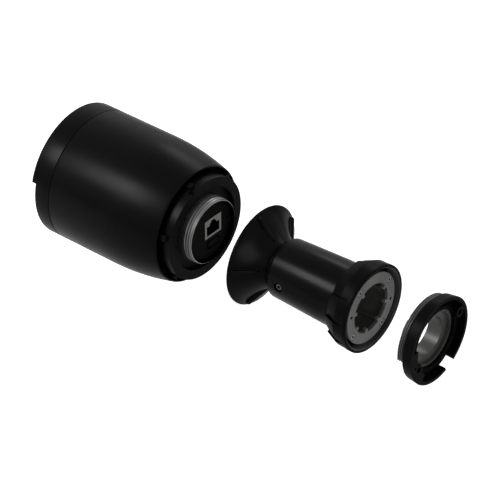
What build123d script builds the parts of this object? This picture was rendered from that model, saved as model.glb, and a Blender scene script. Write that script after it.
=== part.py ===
"""Tube security camera with its wall arm, drawn apart in three groups on one axis.

X runs along the tube: the wall is at X = 0 and the camera looks along -X. +Z is up.
All sizes are millimetres. Radii are measured from the tube's axis.
"""

import os
from math import asin, cos, degrees, radians, sin, sqrt

from build123d import *

os.makedirs("parts", exist_ok=True)

# Running gaps between pieces
gap = 0.3
fit_gap = 0.15
ball_gap = 0.27
press_gap = 0.05
screw_fit = 0.05

# Wall base: a moulded ring with a cast insert
flange_r = 28.4
flange_front_r = 27.6
flange_depth = 7.4
flange_skin = 2.0
flange_rim = 2.4
flange_edge = 0.8
hub_bore_r = 18.8
hub_wall = 2.5
hub_setback = 3.0
wall_screw_circle_r = 22.0
wall_hole_r = 2.0
wall_boss_r = 3.6
wall_hole_angle = 26.0
pad_start = 168.0
pad_sweep = 64.0
guide_hole_r = 0.9
guide_hole_depth = 3.0
guide_hole_angle = 195.5
guide_hole_circle_r = 24.2
notch_angle = 296.0
notch_width = 8.0
notch_reach = 5.0
notch_corner = 2.6

insert_thread_r = 25.8
insert_thread_wall = 3.0
insert_thread_turns = 3
insert_boss_length = 4.2
insert_web = 2.0
insert_lip_wall = 1.6
insert_lip_length = 2.4
insert_pocket_width = 14.5
spigot_r = 15.7
spigot_wall = 2.95
spigot_overhang = 5.5
spigot_slot_clearance = 0.35
coarse_pitch = 1.4
coarse_thread_depth = 0.6
thread_flank = 0.42

# How far the three groups stand apart
base_to_arm = 38.4
arm_to_camera = 63.5

# Arm tube, with the end plate on the wall side
plate_r = 23.3
plate_thickness = 2.4
plate_bore_r = 16.5
plate_tooth_height = 0.5
plate_tooth_count = 60
plate_tooth_width = 0.8
plate_lug_places = 8
plate_lug_free_place = 1
plate_lug_width = 2.2
plate_lug_reach = 2.4
plate_lug_angle = 31.0
plate_screw_count = 4
plate_screw_circle_r = 20.8
plate_screw_angle = 33.0
plate_screw_r = 1.25
plate_head_r = 2.1
plate_head_height = 1.2
plate_screw_length = 6.0
plate_pin_hole_r = 0.9
plate_pin_circle_r = 19.8
plate_pin_angle = 168.0
cross_length = 2.4
cross_width = 0.55
cross_depth = 0.7

tube_length = 62.2
tube_front_r = 19.3
tube_rear_r = 20.8
tube_flange_r = 24.0
tube_flange_width = 6.1
tube_taper_end = 22.6
tube_bore_r = 17.4
tube_rib_zone_r = 18.4
tube_rib_zone_length = 33.1
tube_rib_count = 6
tube_rib_width = 3.4
tube_rib_angle = 3.0
tube_lip_r = 17.4
tube_lip_run = 2.3
tube_lip_bulge = (0.3, 0.7)
tube_mouth_to_ball = 4.2

# Collar ring that screws onto the insert
collar_rim_r = 28.6
collar_band_r = 28.3
collar_cone_r = 27.4
collar_rear_r = 23.4
collar_overhang = 1.8
collar_band = 3.4
collar_cone_length = 8.0
collar_shoulder = 6.2
collar_grip_count = 11
collar_grip_rise = 1.2
collar_grip_angle = 76.0
collar_grip_ends = (1.0, 0.8, 0.04)
collar_edge = 0.6
collar_thread_r = 26.1
collar_thread_start = 1.8
collar_thread_turns = 4

# Swivel: a hollow ball in the tube's mouth, with its seat, spring and nut
ball_r = 16.85
ball_bore_r = 9.5
ball_rear_cut = 12.8
neck_angle = 62.5
stem_r = 12.5
stem_gap = 0.3
stem_thread_depth = 1.2
stem_slot_width = 3.0
stem_slot_depth = 1.0
stem_flange_r = 16.5
stem_flange_width = 2.6
seat_start = 10.6
seat_length = 6.2
seat_bore_r = 10.4
spring_length = 0.8
spring_bore_r = 12.5
seat_nut_length = 4.6
seat_nut_bore_r = 11.0
seat_nut_thread_start = 1.0
seat_nut_thread_turns = 3
seat_nut_slot_width = 3.0
seat_nut_slot_depth = 1.8

set_screw_r = 2.4
set_screw_length = 1.5
set_screw_tip_r = 1.3
set_screw_tip = 0.5
set_screw_from_mouth = 9.2
set_screw_hex = 2.5
set_screw_hex_depth = 1.0
set_screw_recess_r = 3.1
set_screw_recess = 0.9

# Bell: the flared cup that screws onto the camera
bell_rim_r = 32.7
bell_length = 16.4
bell_rim_edge = 1.0
bell_flare_mid = (9.4, 23.8)
bell_rim_wall = 2.1
bell_socket_r = 22.15
bell_socket_wall = 2.45
bell_socket_front = 0.3
bell_floor = 10.5
bell_shoulder = 6.9
bell_cup_depth = 3.1
bell_pocket_r = 16.9
bell_fin_count = 5
bell_fin_angle = 25.0
bell_fin_width = 1.7
bell_fin_outer = (12.5, 31.4)
bell_fin_inner = (3.2, 17.8)
bell_gasket_thickness = 0.5
bell_thread_turns = 2
bell_thread_start = 1.4

# Camera housing
shell_r = 44.2
shell_wall = 2.4
shell_rear_drop = 5.4
shell_rear_r = shell_r - shell_rear_drop
shell_rear_wall = 1.4
shell_rear_round = 0.6
shell_length = 84.0
shell_taper_length = 41.3
hood_length = 12.0
hood_overhang = 3.2
hood_start = 15.0
hood_seam = 0.25
hood_edge_chamfer = 0.7
hood_tongue = 4.0

glass_r = shell_r - 4.2
glass_window_r = glass_r - 1.6
glass_recess = 2.5
glass_thickness = 3.0
glass_gasket_thickness = 1.2
glass_edge = 0.5

rear_cover_clearance = 4.4
rear_cover_r = shell_rear_r - rear_cover_clearance
rear_cover_wall = 2.0
rear_cover_step = 7.2
rear_cover_depth = 18.0
rear_channel_r = rear_cover_r - 6.4
rear_channel_depth = 3.0
rear_cover_flange_r = shell_rear_r - 0.8
rear_cover_flange_width = 2.6
rear_lug_count = 6
rear_lug_angle = 44.0
rear_lug_width = 4.0
rear_lug_length = 7.0
rear_lug_reach = 2.0
rear_key_angle = 110.0
rear_key_width = 2.4
rear_key_depth = 1.6
cover_gasket_r = rear_cover_flange_r + 0.9
cover_gasket_edge = 0.4

mount_ring_r = 21.8
mount_ring_wall = 1.5
mount_ring_height = 6.0
mount_ring_base_r = 24.5
mount_ring_base = 2.0
mount_thread_pitch = 1.9
mount_thread_depth = 0.7
mount_thread_start = 1.5
mount_thread_turns = 3

port_plate_recess = 2.8
port_plate_thickness = 3.0
port_width = 15.5
port_height = 13.4
port_depth = 16.0
port_centre = (3.0, 1.7)
port_shield_wall = 0.5
port_shield_proud = 0.3
port_mouth_width = 11.9
port_mouth_height = 7.0
port_mouth_drop = 1.7
port_latch_width = 6.4
port_latch_height = 1.8
port_key_width = 3.6
port_key_height = 1.5
port_mouth_depth = 11.5
contact_count = 8
contact_pitch = 1.02
contact_width = 0.45
contact_setback = 1.5
contact_rise = 2.6

reset_width = 11.4
reset_height = 5.8
reset_corner = 2.2
reset_centre = (3.2, -10.9)
reset_travel = 0.6
reset_flange = 0.8
reset_flange_thickness = 1.2
switch_side = 6.0
switch_height = 3.6
switch_stem_r = 1.7
status_light_r = 0.8
status_light_centre = (17.0, 0.9)

board_thickness = 1.6
port_board_r = shell_rear_r - 8.3
main_board_r = shell_r - 11.2
main_board_flat = main_board_r - 4
main_board_to_port_board = 22.0
sensor_board_side = 40.0
sensor_board_corner = 3.0
sensor_board_to_main_board = 22.4
processor_side = 15.0
processor_height = 1.4
processor_edge = 0.3
standoff_r = 2.6
standoff_hole_r = 1.35
standoff_hole_depth = 6.0
sensor_standoff_circle_r = 22.0
main_standoff_circle_r = main_board_r - 2.8
standoff_angle = 45.0
board_corners = 4
hex_sides = 6
board_screw_r = 1.2
board_screw_length = 6.5
board_screw_head_r = 2.4
board_screw_head = 1.4

image_sensor_width = 12.0
image_sensor_height = 10.0
image_sensor_thickness = 2.0
image_sensor_frame = 1.2
image_sensor_window = 0.4
lens_mount_side = 24.0
lens_mount_base = 2.5
lens_mount_length = 9.0
lens_mount_wall = 2.0
lens_barrel_r = 13.2
lens_barrel_rear_r = 10.5
lens_barrel_wall = 2.2
lens_barrel_head = 12.0
lens_hood_depth = 2.4
lens_element_r = 10.6
lens_element_thickness = 3.4
lens_element_bulge = 1.6
lens_edge = 1.4
baffle_r = 15.6
baffle_wall = 1.9
led_board_r = shell_r - 6.8
led_board_bore_r = 14.0
led_board_setback = 8.0
led_count = 12
led_circle_r = 27.0
led_r = 2.5
led_height = 4.4
led_dome = 1.1
led_start_angle = 15.0

chassis_ring_r = shell_r - 4.4
chassis_ring_bore_r = chassis_ring_r - 5.3
chassis_ring_width = 4.0
chassis_leg_count = 3
chassis_leg_width = 12.0
chassis_leg_thickness = 3.0
chassis_leg_r = chassis_ring_r - 2.8
chassis_rear_bore_r = 27.0
chassis_rear_thickness = 3.0
cover_screw_circle_r = rear_cover_flange_r - 2.4
cover_screw_r = 1.5
cover_screw_head_r = 2.6
cover_screw_head = 1.6
cover_screw_length = 5.0
cover_screw_count = 3
cover_screw_angle = 60.0
pillar_r = 2.4

# Places along the axis, worked out from the sizes above
flange_front = -flange_depth
insert_end = flange_front - insert_boss_length
plate_face = insert_end - base_to_arm
plate_back = plate_face - plate_thickness
tube_end = plate_back - tube_length
collar_front = plate_face + collar_overhang
tube_flange_back = plate_back - tube_flange_width
collar_inner_face = tube_flange_back - 2 * gap
collar_rear = collar_inner_face - collar_shoulder
ball_x = tube_end + tube_mouth_to_ball
seat_r = ball_r + ball_gap
tube_mouth_r = sqrt(seat_r**2 - tube_mouth_to_ball**2)
neck_x = ball_x - ball_r * cos(radians(neck_angle))
neck_r = ball_r * sin(radians(neck_angle))
bell_back = neck_x - gap
bell_front = bell_back - bell_length
bell_floor_x = bell_back - bell_floor
cover_x = tube_end - arm_to_camera
ring_end = cover_x + mount_ring_height
shell_rear = cover_x - rear_cover_step
shell_front = shell_rear - shell_length
hood_front = shell_front - hood_length
port_face = ring_end - port_plate_recess
port_plate_back = port_face - port_plate_thickness
jack_back = port_face - port_depth
port_board_front = jack_back - board_thickness
chassis_rear_x = cover_x - rear_cover_depth - fit_gap
main_board_front = port_board_front - main_board_to_port_board
sensor_board_front = main_board_front - sensor_board_to_main_board
glass_front = hood_front + glass_recess
glass_back = glass_front + glass_thickness
gasket_back = glass_back + glass_gasket_thickness
led_board_front = glass_back + led_board_setback
lens_front = glass_back + gap
chassis_front = led_board_front + board_thickness + fit_gap
lug_pitch = 360 / plate_lug_places
plate_lug_angles = [
    plate_lug_angle + lug * lug_pitch
    for lug in range(plate_lug_places)
    if lug != plate_lug_free_place
]


def band(x_low, x_high, r_in, r_out, mode=Mode.ADD):
    """One straight stretch of a turned section, between two places and two radii."""
    with Locations(((x_low + x_high) / 2, (r_in + r_out) / 2)):
        Rectangle(x_high - x_low, r_out - r_in, mode=mode)


def thread_grooves(x_first, pitch, count, r, depth, mode=Mode.SUBTRACT):
    """V grooves of a thread in a turned section: depth is positive into a shaft, negative into a bore."""
    half = thread_flank * abs(pitch)
    for turn in range(count):
        with Locations((x_first + turn * pitch, r)):
            Polygon((-half, 0), (half, 0), (0, -depth), align=None, mode=mode)


def cross_plane(x):
    """A plane square to the tube's axis whose own x is world Y and whose own y is world Z."""
    return Plane(origin=(x, 0, 0), x_dir=(0, 1, 0), z_dir=(1, 0, 0))


def polar_point(r, angle):
    """A point on a circle in a plane square to the axis."""
    return (r * cos(radians(angle)), r * sin(radians(angle)))


def cross_slots():
    """The crossed driver slots of one screw head."""
    Rectangle(cross_length, cross_width)
    Rectangle(cross_width, cross_length)


# Wall base

with BuildPart() as base_ring:
    hub_r = hub_bore_r + hub_wall
    with BuildSketch(Plane.XY):
        with BuildLine():
            Polyline(
                (flange_front, hub_bore_r),
                (flange_front, flange_front_r - flange_edge),
                (flange_front + flange_edge, flange_front_r),
                (0, flange_r),
                (0, hub_bore_r),
                (flange_front, hub_bore_r),
            )
        make_face()
        band(flange_front + flange_skin, 0, hub_r, flange_r - flange_rim, mode=Mode.SUBTRACT)
        band(-hub_setback, 0, hub_bore_r, hub_r, mode=Mode.SUBTRACT)
    revolve(axis=Axis.X)
    # Screw bosses and the solid pad beside one of them, level with the rim
    with BuildSketch(cross_plane(flange_front + flange_skin)):
        with PolarLocations(wall_screw_circle_r, 2, start_angle=wall_hole_angle):
            Circle(wall_boss_r)
        with BuildLine():
            CenterArc((0, 0), flange_r - flange_rim, pad_start, pad_sweep)
            CenterArc((0, 0), hub_r, pad_start, pad_sweep)
            for angle in (pad_start, pad_start + pad_sweep):
                Line(polar_point(hub_r, angle), polar_point(flange_r - flange_rim, angle))
        make_face()
        Circle(hub_bore_r, mode=Mode.SUBTRACT)
    extrude(amount=flange_depth - flange_skin)
    with BuildSketch(cross_plane(flange_front)):
        with PolarLocations(wall_screw_circle_r, 2, start_angle=wall_hole_angle):
            Circle(wall_hole_r)
    extrude(amount=flange_depth, mode=Mode.SUBTRACT)
    with BuildSketch(cross_plane(0)):
        with Locations(polar_point(guide_hole_circle_r, guide_hole_angle)):
            Circle(guide_hole_r)
    extrude(amount=-guide_hole_depth, mode=Mode.SUBTRACT)
    # Cable notch through the rim
    with BuildSketch(cross_plane(flange_front + flange_skin)):
        with Locations(Location(polar_point(flange_r, notch_angle), notch_angle)):
            RectangleRounded(2 * notch_reach, notch_width, notch_corner)
    extrude(amount=flange_depth - flange_skin, mode=Mode.SUBTRACT)
base_ring.part.label = "base_ring"
export_step(base_ring.part, "parts/base_ring.step")

with BuildPart() as base_insert:
    insert_neck_r = hub_bore_r - fit_gap
    web_front = flange_front - insert_web
    with BuildSketch(Plane.XY):
        band(insert_end, flange_front, insert_thread_r - insert_thread_wall, insert_thread_r)
        band(web_front, flange_front, spigot_r - spigot_wall, insert_thread_r)
        band(flange_front, flange_front + insert_lip_length, insert_neck_r - insert_lip_wall, insert_neck_r)
        band(insert_end - spigot_overhang, flange_front, spigot_r - spigot_wall, spigot_r)
        thread_grooves(
            insert_end + coarse_pitch / 2,
            coarse_pitch,
            insert_thread_turns,
            insert_thread_r,
            coarse_thread_depth,
        )
    revolve(axis=Axis.X)
    # Pockets for the two wall screws, which interrupt the thread
    with BuildSketch(cross_plane(insert_end)):
        with PolarLocations(wall_screw_circle_r, 2, start_angle=wall_hole_angle):
            Rectangle(2 * (wall_screw_circle_r - hub_bore_r), insert_pocket_width)
        with PolarLocations(insert_thread_r, 2, start_angle=wall_hole_angle):
            Rectangle(insert_thread_wall * 2, insert_pocket_width)
    extrude(amount=insert_boss_length, mode=Mode.SUBTRACT)
    # Grooves along the spigot, in which the end plate's lugs keep the arm from turning
    lug_tip_r = plate_bore_r - plate_lug_reach
    groove_depth = spigot_r - lug_tip_r + spigot_slot_clearance
    with BuildSketch(cross_plane(insert_end - spigot_overhang)):
        for angle in plate_lug_angles:
            with Locations(Location(polar_point(spigot_r, angle), angle)):
                Rectangle(2 * groove_depth, plate_lug_width + 2 * spigot_slot_clearance)
    extrude(amount=spigot_overhang, mode=Mode.SUBTRACT)
base_insert.part.label = "base_insert"
export_step(base_insert.part, "parts/base_insert.step")

# Arm

with BuildPart() as end_plate:
    with BuildSketch(cross_plane(plate_back)):
        Circle(plate_r)
        Circle(plate_bore_r, mode=Mode.SUBTRACT)
        with PolarLocations(plate_bore_r, plate_tooth_count):
            Rectangle(2 * plate_tooth_height, plate_tooth_width)
        for angle in plate_lug_angles:
            with Locations(Location(polar_point(plate_bore_r, angle), angle)):
                Rectangle(2 * plate_lug_reach, plate_lug_width)
        with PolarLocations(plate_screw_circle_r, plate_screw_count, start_angle=plate_screw_angle):
            Circle(plate_screw_r + fit_gap, mode=Mode.SUBTRACT)
        with PolarLocations(plate_pin_circle_r, 2, start_angle=plate_pin_angle):
            Circle(plate_pin_hole_r, mode=Mode.SUBTRACT)
    extrude(amount=plate_thickness)
    with BuildSketch(cross_plane(plate_face)):
        with PolarLocations(plate_screw_circle_r, plate_screw_count, start_angle=plate_screw_angle):
            Circle(plate_head_r + fit_gap)
    extrude(amount=-plate_head_height, mode=Mode.SUBTRACT)
end_plate.part.label = "end_plate"
export_step(end_plate.part, "parts/end_plate.step")

with BuildPart() as plate_screws:
    with BuildSketch(cross_plane(plate_face - plate_head_height)):
        with PolarLocations(plate_screw_circle_r, plate_screw_count, start_angle=plate_screw_angle):
            Circle(plate_head_r)
    extrude(amount=plate_head_height)
    with BuildSketch(cross_plane(plate_back - plate_screw_length + plate_thickness)):
        with PolarLocations(plate_screw_circle_r, plate_screw_count, start_angle=plate_screw_angle):
            Circle(plate_screw_r)
    extrude(amount=plate_screw_length - plate_head_height)
    with BuildSketch(cross_plane(plate_face)):
        with PolarLocations(plate_screw_circle_r, plate_screw_count, start_angle=plate_screw_angle):
            cross_slots()
    extrude(amount=-cross_depth, mode=Mode.SUBTRACT)
plate_screws.part.label = "plate_screws"
export_step(plate_screws.part, "parts/plate_screws.step")

with BuildPart() as arm_tube:
    mouth_sweep = degrees(asin(tube_mouth_to_ball / seat_r))
    lip_end = tube_end + tube_lip_run
    rib_zone_start = plate_back - tube_rib_zone_length
    with BuildSketch(Plane.XY):
        with BuildLine():
            lip_mid = (
                tube_end + tube_lip_bulge[0] * tube_lip_run,
                tube_lip_r + tube_lip_bulge[1] * (tube_front_r - tube_lip_r),
            )
            Line((tube_end, tube_mouth_r), (tube_end, tube_lip_r))
            ThreePointArc((tube_end, tube_lip_r), lip_mid, (lip_end, tube_front_r))
            Polyline(
                (lip_end, tube_front_r),
                (plate_back - tube_taper_end, tube_rear_r),
                (tube_flange_back, tube_rear_r),
                (tube_flange_back, tube_flange_r),
                (plate_back, tube_flange_r),
                (plate_back, tube_rib_zone_r),
                (rib_zone_start, tube_rib_zone_r),
                (rib_zone_start, tube_bore_r),
                (ball_x, tube_bore_r),
                (ball_x, seat_r),
            )
            CenterArc((ball_x, 0), seat_r, 90, mouth_sweep)
        make_face()
    revolve(axis=Axis.X)
    with BuildSketch(cross_plane(rib_zone_start)):
        rib_reach = tube_rib_zone_r - tube_bore_r + gap
        with PolarLocations(tube_bore_r + rib_reach / 2, tube_rib_count, start_angle=tube_rib_angle):
            Rectangle(rib_reach, tube_rib_width)
    extrude(amount=tube_rib_zone_length)
    with BuildSketch(cross_plane(plate_back)):
        with PolarLocations(plate_screw_circle_r, plate_screw_count, start_angle=plate_screw_angle):
            Circle(plate_screw_r + fit_gap)
    extrude(amount=-plate_screw_length, mode=Mode.SUBTRACT)
    # Threaded hole and recess for the set screw, on the side that faces -Y
    screw_x = tube_end + set_screw_from_mouth
    taper_share = (set_screw_from_mouth - tube_lip_run) / (tube_length - tube_taper_end - tube_lip_run)
    screw_head_r = tube_front_r + taper_share * (tube_rear_r - tube_front_r) - set_screw_recess
    screw_plane = Plane(origin=(screw_x, -screw_head_r, 0), x_dir=(1, 0, 0), z_dir=(0, -1, 0))
    with BuildSketch(screw_plane):
        Circle(set_screw_recess_r)
    extrude(amount=2 * set_screw_recess, mode=Mode.SUBTRACT)
    with BuildSketch(screw_plane):
        Circle(set_screw_r + screw_fit)
    extrude(amount=-(set_screw_length + set_screw_tip), mode=Mode.SUBTRACT)
arm_tube.part.label = "arm_tube"
export_step(arm_tube.part, "parts/arm_tube.step")

with BuildPart() as set_screw:
    with BuildSketch(screw_plane):
        Circle(set_screw_r)
    extrude(amount=-set_screw_length)
    with BuildSketch(screw_plane.offset(-set_screw_length)):
        Circle(set_screw_tip_r)
    extrude(amount=-set_screw_tip)
    with BuildSketch(screw_plane):
        RegularPolygon(set_screw_hex / 2, hex_sides, major_radius=False)
    extrude(amount=-set_screw_hex_depth, mode=Mode.SUBTRACT)
set_screw.part.label = "set_screw"
export_step(set_screw.part, "parts/set_screw.step")

with BuildPart() as seat_ring:
    seat_outer_r = tube_bore_r - gap
    seat_edge_r = sqrt(seat_r**2 - seat_start**2)
    seat_inner_x = ball_x + sqrt(seat_r**2 - seat_bore_r**2)
    seat_mid_angle = (asin(seat_edge_r / seat_r) + asin(seat_bore_r / seat_r)) / 2
    seat_back = ball_x + seat_start + seat_length
    with BuildSketch(Plane.XY):
        with BuildLine():
            Polyline(
                (seat_inner_x, seat_bore_r),
                (seat_back, seat_bore_r),
                (seat_back, seat_outer_r),
                (ball_x + seat_start, seat_outer_r),
                (ball_x + seat_start, seat_edge_r),
            )
            ThreePointArc(
                (ball_x + seat_start, seat_edge_r),
                (ball_x + seat_r * cos(seat_mid_angle), seat_r * sin(seat_mid_angle)),
                (seat_inner_x, seat_bore_r),
            )
        make_face()
    revolve(axis=Axis.X)
seat_ring.part.label = "seat_ring"
export_step(seat_ring.part, "parts/seat_ring.step")

with BuildPart() as seat_spring:
    spring_front = seat_back + fit_gap
    with BuildSketch(Plane.XY):
        band(spring_front, spring_front + spring_length, spring_bore_r, tube_bore_r - 2 * gap)
    revolve(axis=Axis.X)
seat_spring.part.label = "seat_spring"
export_step(seat_spring.part, "parts/seat_spring.step")

with BuildPart() as seat_nut:
    nut_front = spring_front + spring_length
    with BuildSketch(Plane.XY):
        band(nut_front, nut_front + seat_nut_length, seat_nut_bore_r, tube_bore_r - fit_gap)
        thread_grooves(
            nut_front + seat_nut_thread_start,
            coarse_pitch,
            seat_nut_thread_turns,
            tube_bore_r - fit_gap,
            coarse_thread_depth,
        )
    revolve(axis=Axis.X)
    with BuildSketch(cross_plane(nut_front + seat_nut_length)):
        Rectangle(2 * tube_bore_r, seat_nut_slot_width)
    extrude(amount=-seat_nut_slot_depth, mode=Mode.SUBTRACT)
seat_nut.part.label = "seat_nut"
export_step(seat_nut.part, "parts/seat_nut.step")

# Collar

with BuildPart() as collar_ring:
    collar_bore_r = tube_rear_r + gap
    cone_end = collar_rear + collar_cone_length
    band_start = collar_front - collar_band
    # Saw-toothed grip, narrowing from the cone to nothing at the front band
    grip_pitch = 360 / collar_grip_count
    grip_places = (collar_rear, cone_end, band_start)
    grip_root_radii = (collar_rear_r, collar_cone_r, collar_band_r)
    for place, root_r, share in zip(grip_places, grip_root_radii, collar_grip_ends):
        rise = share * collar_grip_rise
        with BuildSketch(cross_plane(place)):
            with BuildLine():
                for tooth in range(collar_grip_count):
                    start = collar_grip_angle + tooth * grip_pitch
                    end = start + grip_pitch
                    ThreePointArc(
                        polar_point(root_r + rise, start),
                        polar_point(root_r + rise / 2, (start + end) / 2),
                        polar_point(root_r, end),
                    )
                    Line(polar_point(root_r, end), polar_point(root_r + rise, end))
            make_face()
    loft(ruled=True)
    with BuildSketch(Plane.XY):
        with BuildLine():
            Polyline(
                (band_start, 0),
                (band_start, collar_rim_r - collar_edge),
                (band_start + collar_edge, collar_rim_r),
                (collar_front - collar_edge, collar_rim_r),
                (collar_front, collar_rim_r - collar_edge),
                (collar_front, 0),
                (band_start, 0),
            )
        make_face()
    revolve(axis=Axis.X)
    with BuildSketch(Plane.XY):
        band(collar_rear - 1, collar_front + 1, 0, collar_bore_r)
        band(collar_inner_face, collar_front + 1, 0, collar_thread_r)
        thread_grooves(
            collar_front - collar_thread_start,
            -coarse_pitch,
            collar_thread_turns,
            collar_thread_r,
            -coarse_thread_depth,
            mode=Mode.ADD,
        )
    revolve(axis=Axis.X, mode=Mode.SUBTRACT)
collar_ring.part.label = "collar_ring"
export_step(collar_ring.part, "parts/collar_ring.step")

# Swivel

with BuildPart() as swivel_ball:
    ball_rear_x = ball_x + ball_rear_cut
    ball_rear_r = sqrt(ball_r**2 - ball_rear_cut**2)
    shoulder_x = bell_back - bell_shoulder
    stem_step = shoulder_x - stem_gap
    stem_thread_r = stem_r - stem_thread_depth
    with BuildSketch(Plane.XY):
        with BuildLine():
            Polyline(
                (ball_rear_x, ball_rear_r),
                (ball_rear_x, ball_bore_r),
                (stem_step - stem_flange_width, ball_bore_r),
                (stem_step - stem_flange_width, stem_thread_r),
                (stem_step, stem_thread_r),
                (stem_step, stem_r),
                (neck_x, stem_r),
                (neck_x, neck_r),
            )
            ThreePointArc((neck_x, neck_r), (ball_x, ball_r), (ball_rear_x, ball_rear_r))
        make_face()
    revolve(axis=Axis.X)
swivel_ball.part.label = "swivel_ball"
export_step(swivel_ball.part, "parts/swivel_ball.step")

with BuildPart() as stem_flange:
    with BuildSketch(Plane.XY):
        band(stem_step - stem_flange_width, stem_step, stem_thread_r + press_gap, stem_flange_r)
    revolve(axis=Axis.X)
    with BuildSketch(cross_plane(stem_step - stem_flange_width)):
        Rectangle(2 * stem_flange_r, stem_slot_width)
    extrude(amount=stem_slot_depth, mode=Mode.SUBTRACT)
stem_flange.part.label = "stem_flange"
export_step(stem_flange.part, "parts/stem_flange.step")

with BuildPart() as bell_cup:
    flare_mid = (bell_back - bell_flare_mid[0], bell_flare_mid[1])
    throat_r = stem_r + gap
    socket_outer_r = bell_socket_r + bell_socket_wall
    with BuildSketch(Plane.XY):
        with BuildLine():
            Polyline((bell_front, 0), (bell_back, 0), (bell_back, neck_r))
            ThreePointArc((bell_back, neck_r), flare_mid, (bell_front + bell_rim_edge, bell_rim_r))
            Polyline((bell_front + bell_rim_edge, bell_rim_r), (bell_front, bell_rim_r), (bell_front, 0))
        make_face()
    revolve(axis=Axis.X)
    # Grip fins, standing on the flare
    for fin in range(bell_fin_count):
        angle = bell_fin_angle + fin * 360 / bell_fin_count
        normal = (0, -sin(radians(angle)), cos(radians(angle)))
        with BuildSketch(Plane(origin=(0, 0, 0), x_dir=(1, 0, 0), z_dir=normal)):
            Polygon(
                (bell_back - bell_fin_outer[0], bell_fin_outer[1]),
                (bell_back - bell_fin_inner[0], bell_fin_inner[1]),
                (bell_back - bell_fin_inner[0] - 2, neck_r),
                (bell_front + bell_rim_edge, bell_fin_outer[1] - 2),
                (bell_front + bell_rim_edge, bell_fin_outer[1]),
                align=None,
            )
        extrude(amount=bell_fin_width / 2, both=True)
    # Throat, pocket for the stem's flange, threaded socket and the cup round it
    with BuildSketch(Plane.XY):
        band(bell_floor_x, bell_back + 1, 0, throat_r)
        band(bell_floor_x, shoulder_x, 0, bell_pocket_r)
        band(bell_front - 1, bell_floor_x, 0, bell_socket_r)
        thread_grooves(
            bell_floor_x - bell_thread_start,
            -mount_thread_pitch,
            bell_thread_turns,
            bell_socket_r,
            -mount_thread_depth,
            mode=Mode.ADD,
        )
        band(bell_front - 1, bell_front + bell_socket_front, 0, socket_outer_r)
    revolve(axis=Axis.X, mode=Mode.SUBTRACT)
    with BuildSketch(Plane.XY):
        with BuildLine():
            Polyline(
                (bell_front - 1, socket_outer_r),
                (bell_front + bell_cup_depth, socket_outer_r),
                (bell_front, bell_rim_r - bell_rim_wall),
                (bell_front - 1, bell_rim_r - bell_rim_wall),
                (bell_front - 1, socket_outer_r),
            )
        make_face()
    revolve(axis=Axis.X, mode=Mode.SUBTRACT)
bell_cup.part.label = "bell_cup"
export_step(bell_cup.part, "parts/bell_cup.step")

with BuildPart() as bell_gasket:
    with BuildSketch(Plane.XY):
        gasket_front = bell_floor_x - bell_gasket_thickness
        band(gasket_front, bell_floor_x, bell_pocket_r + gap, bell_socket_r - fit_gap)
    revolve(axis=Axis.X)
bell_gasket.part.label = "bell_gasket"
export_step(bell_gasket.part, "parts/bell_gasket.step")

# Camera housing

with BuildPart() as outer_shell:
    taper_start = shell_rear - shell_taper_length
    with BuildSketch(Plane.XY):
        with BuildLine():
            Polyline((shell_front, shell_r - shell_wall), (shell_front, shell_r), (taper_start, shell_r))
            TangentArc((taper_start, shell_r), (shell_rear, shell_rear_r), tangent=(1, 0))
            Line((shell_rear, shell_rear_r), (shell_rear, shell_rear_r - shell_rear_wall))
            TangentArc(
                (taper_start, shell_r - shell_wall),
                (shell_rear, shell_rear_r - shell_rear_wall),
                tangent=(1, 0),
            )
            Line((taper_start, shell_r - shell_wall), (shell_front, shell_r - shell_wall))
        make_face()
    revolve(axis=Axis.X)
    fillet(outer_shell.edges().group_by(Axis.X)[-1], radius=shell_rear_round)
outer_shell.part.label = "outer_shell"
export_step(outer_shell.part, "parts/outer_shell.step")

with BuildPart() as front_hood:
    hood_back = shell_front - hood_seam
    glass_seat_r = glass_r + fit_gap
    with BuildSketch(Plane.XY):
        band(hood_front, glass_front, glass_window_r, shell_r)
        band(glass_front, hood_back, glass_seat_r, shell_r)
        band(hood_back, shell_front + hood_tongue, glass_seat_r, shell_r - shell_wall - fit_gap)
    revolve(axis=Axis.X)
    # Visor: the upper part of the rim, which stands further forward
    hood_sweep = 180 - 2 * hood_start
    with BuildSketch(cross_plane(hood_front)):
        with BuildLine():
            CenterArc((0, 0), shell_r, hood_start, hood_sweep)
            CenterArc((0, 0), glass_window_r + 2, hood_start, hood_sweep)
            for angle in (hood_start, hood_start + hood_sweep):
                Line(polar_point(glass_window_r + 2, angle), polar_point(shell_r, angle))
        make_face()
    extrude(amount=-hood_overhang)
    visor_edges = front_hood.edges().group_by(Axis.X)[0].filter_by(GeomType.CIRCLE)
    chamfer(visor_edges.sort_by(SortBy.RADIUS)[-1], length=hood_edge_chamfer)
front_hood.part.label = "front_hood"
export_step(front_hood.part, "parts/front_hood.step")

with BuildPart() as front_glass:
    with BuildSketch(Plane.XY):
        band(glass_front, glass_back, 0, glass_r)
    revolve(axis=Axis.X)
    chamfer(front_glass.edges().group_by(Axis.X)[-1], length=glass_edge)
front_glass.part.label = "front_glass"
export_step(front_glass.part, "parts/front_glass.step")

with BuildPart() as glass_gasket:
    with BuildSketch(Plane.XY):
        band(glass_back, gasket_back, glass_window_r, glass_r)
    revolve(axis=Axis.X)
glass_gasket.part.label = "glass_gasket"
export_step(glass_gasket.part, "parts/glass_gasket.step")

# Lens and sensor

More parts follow.
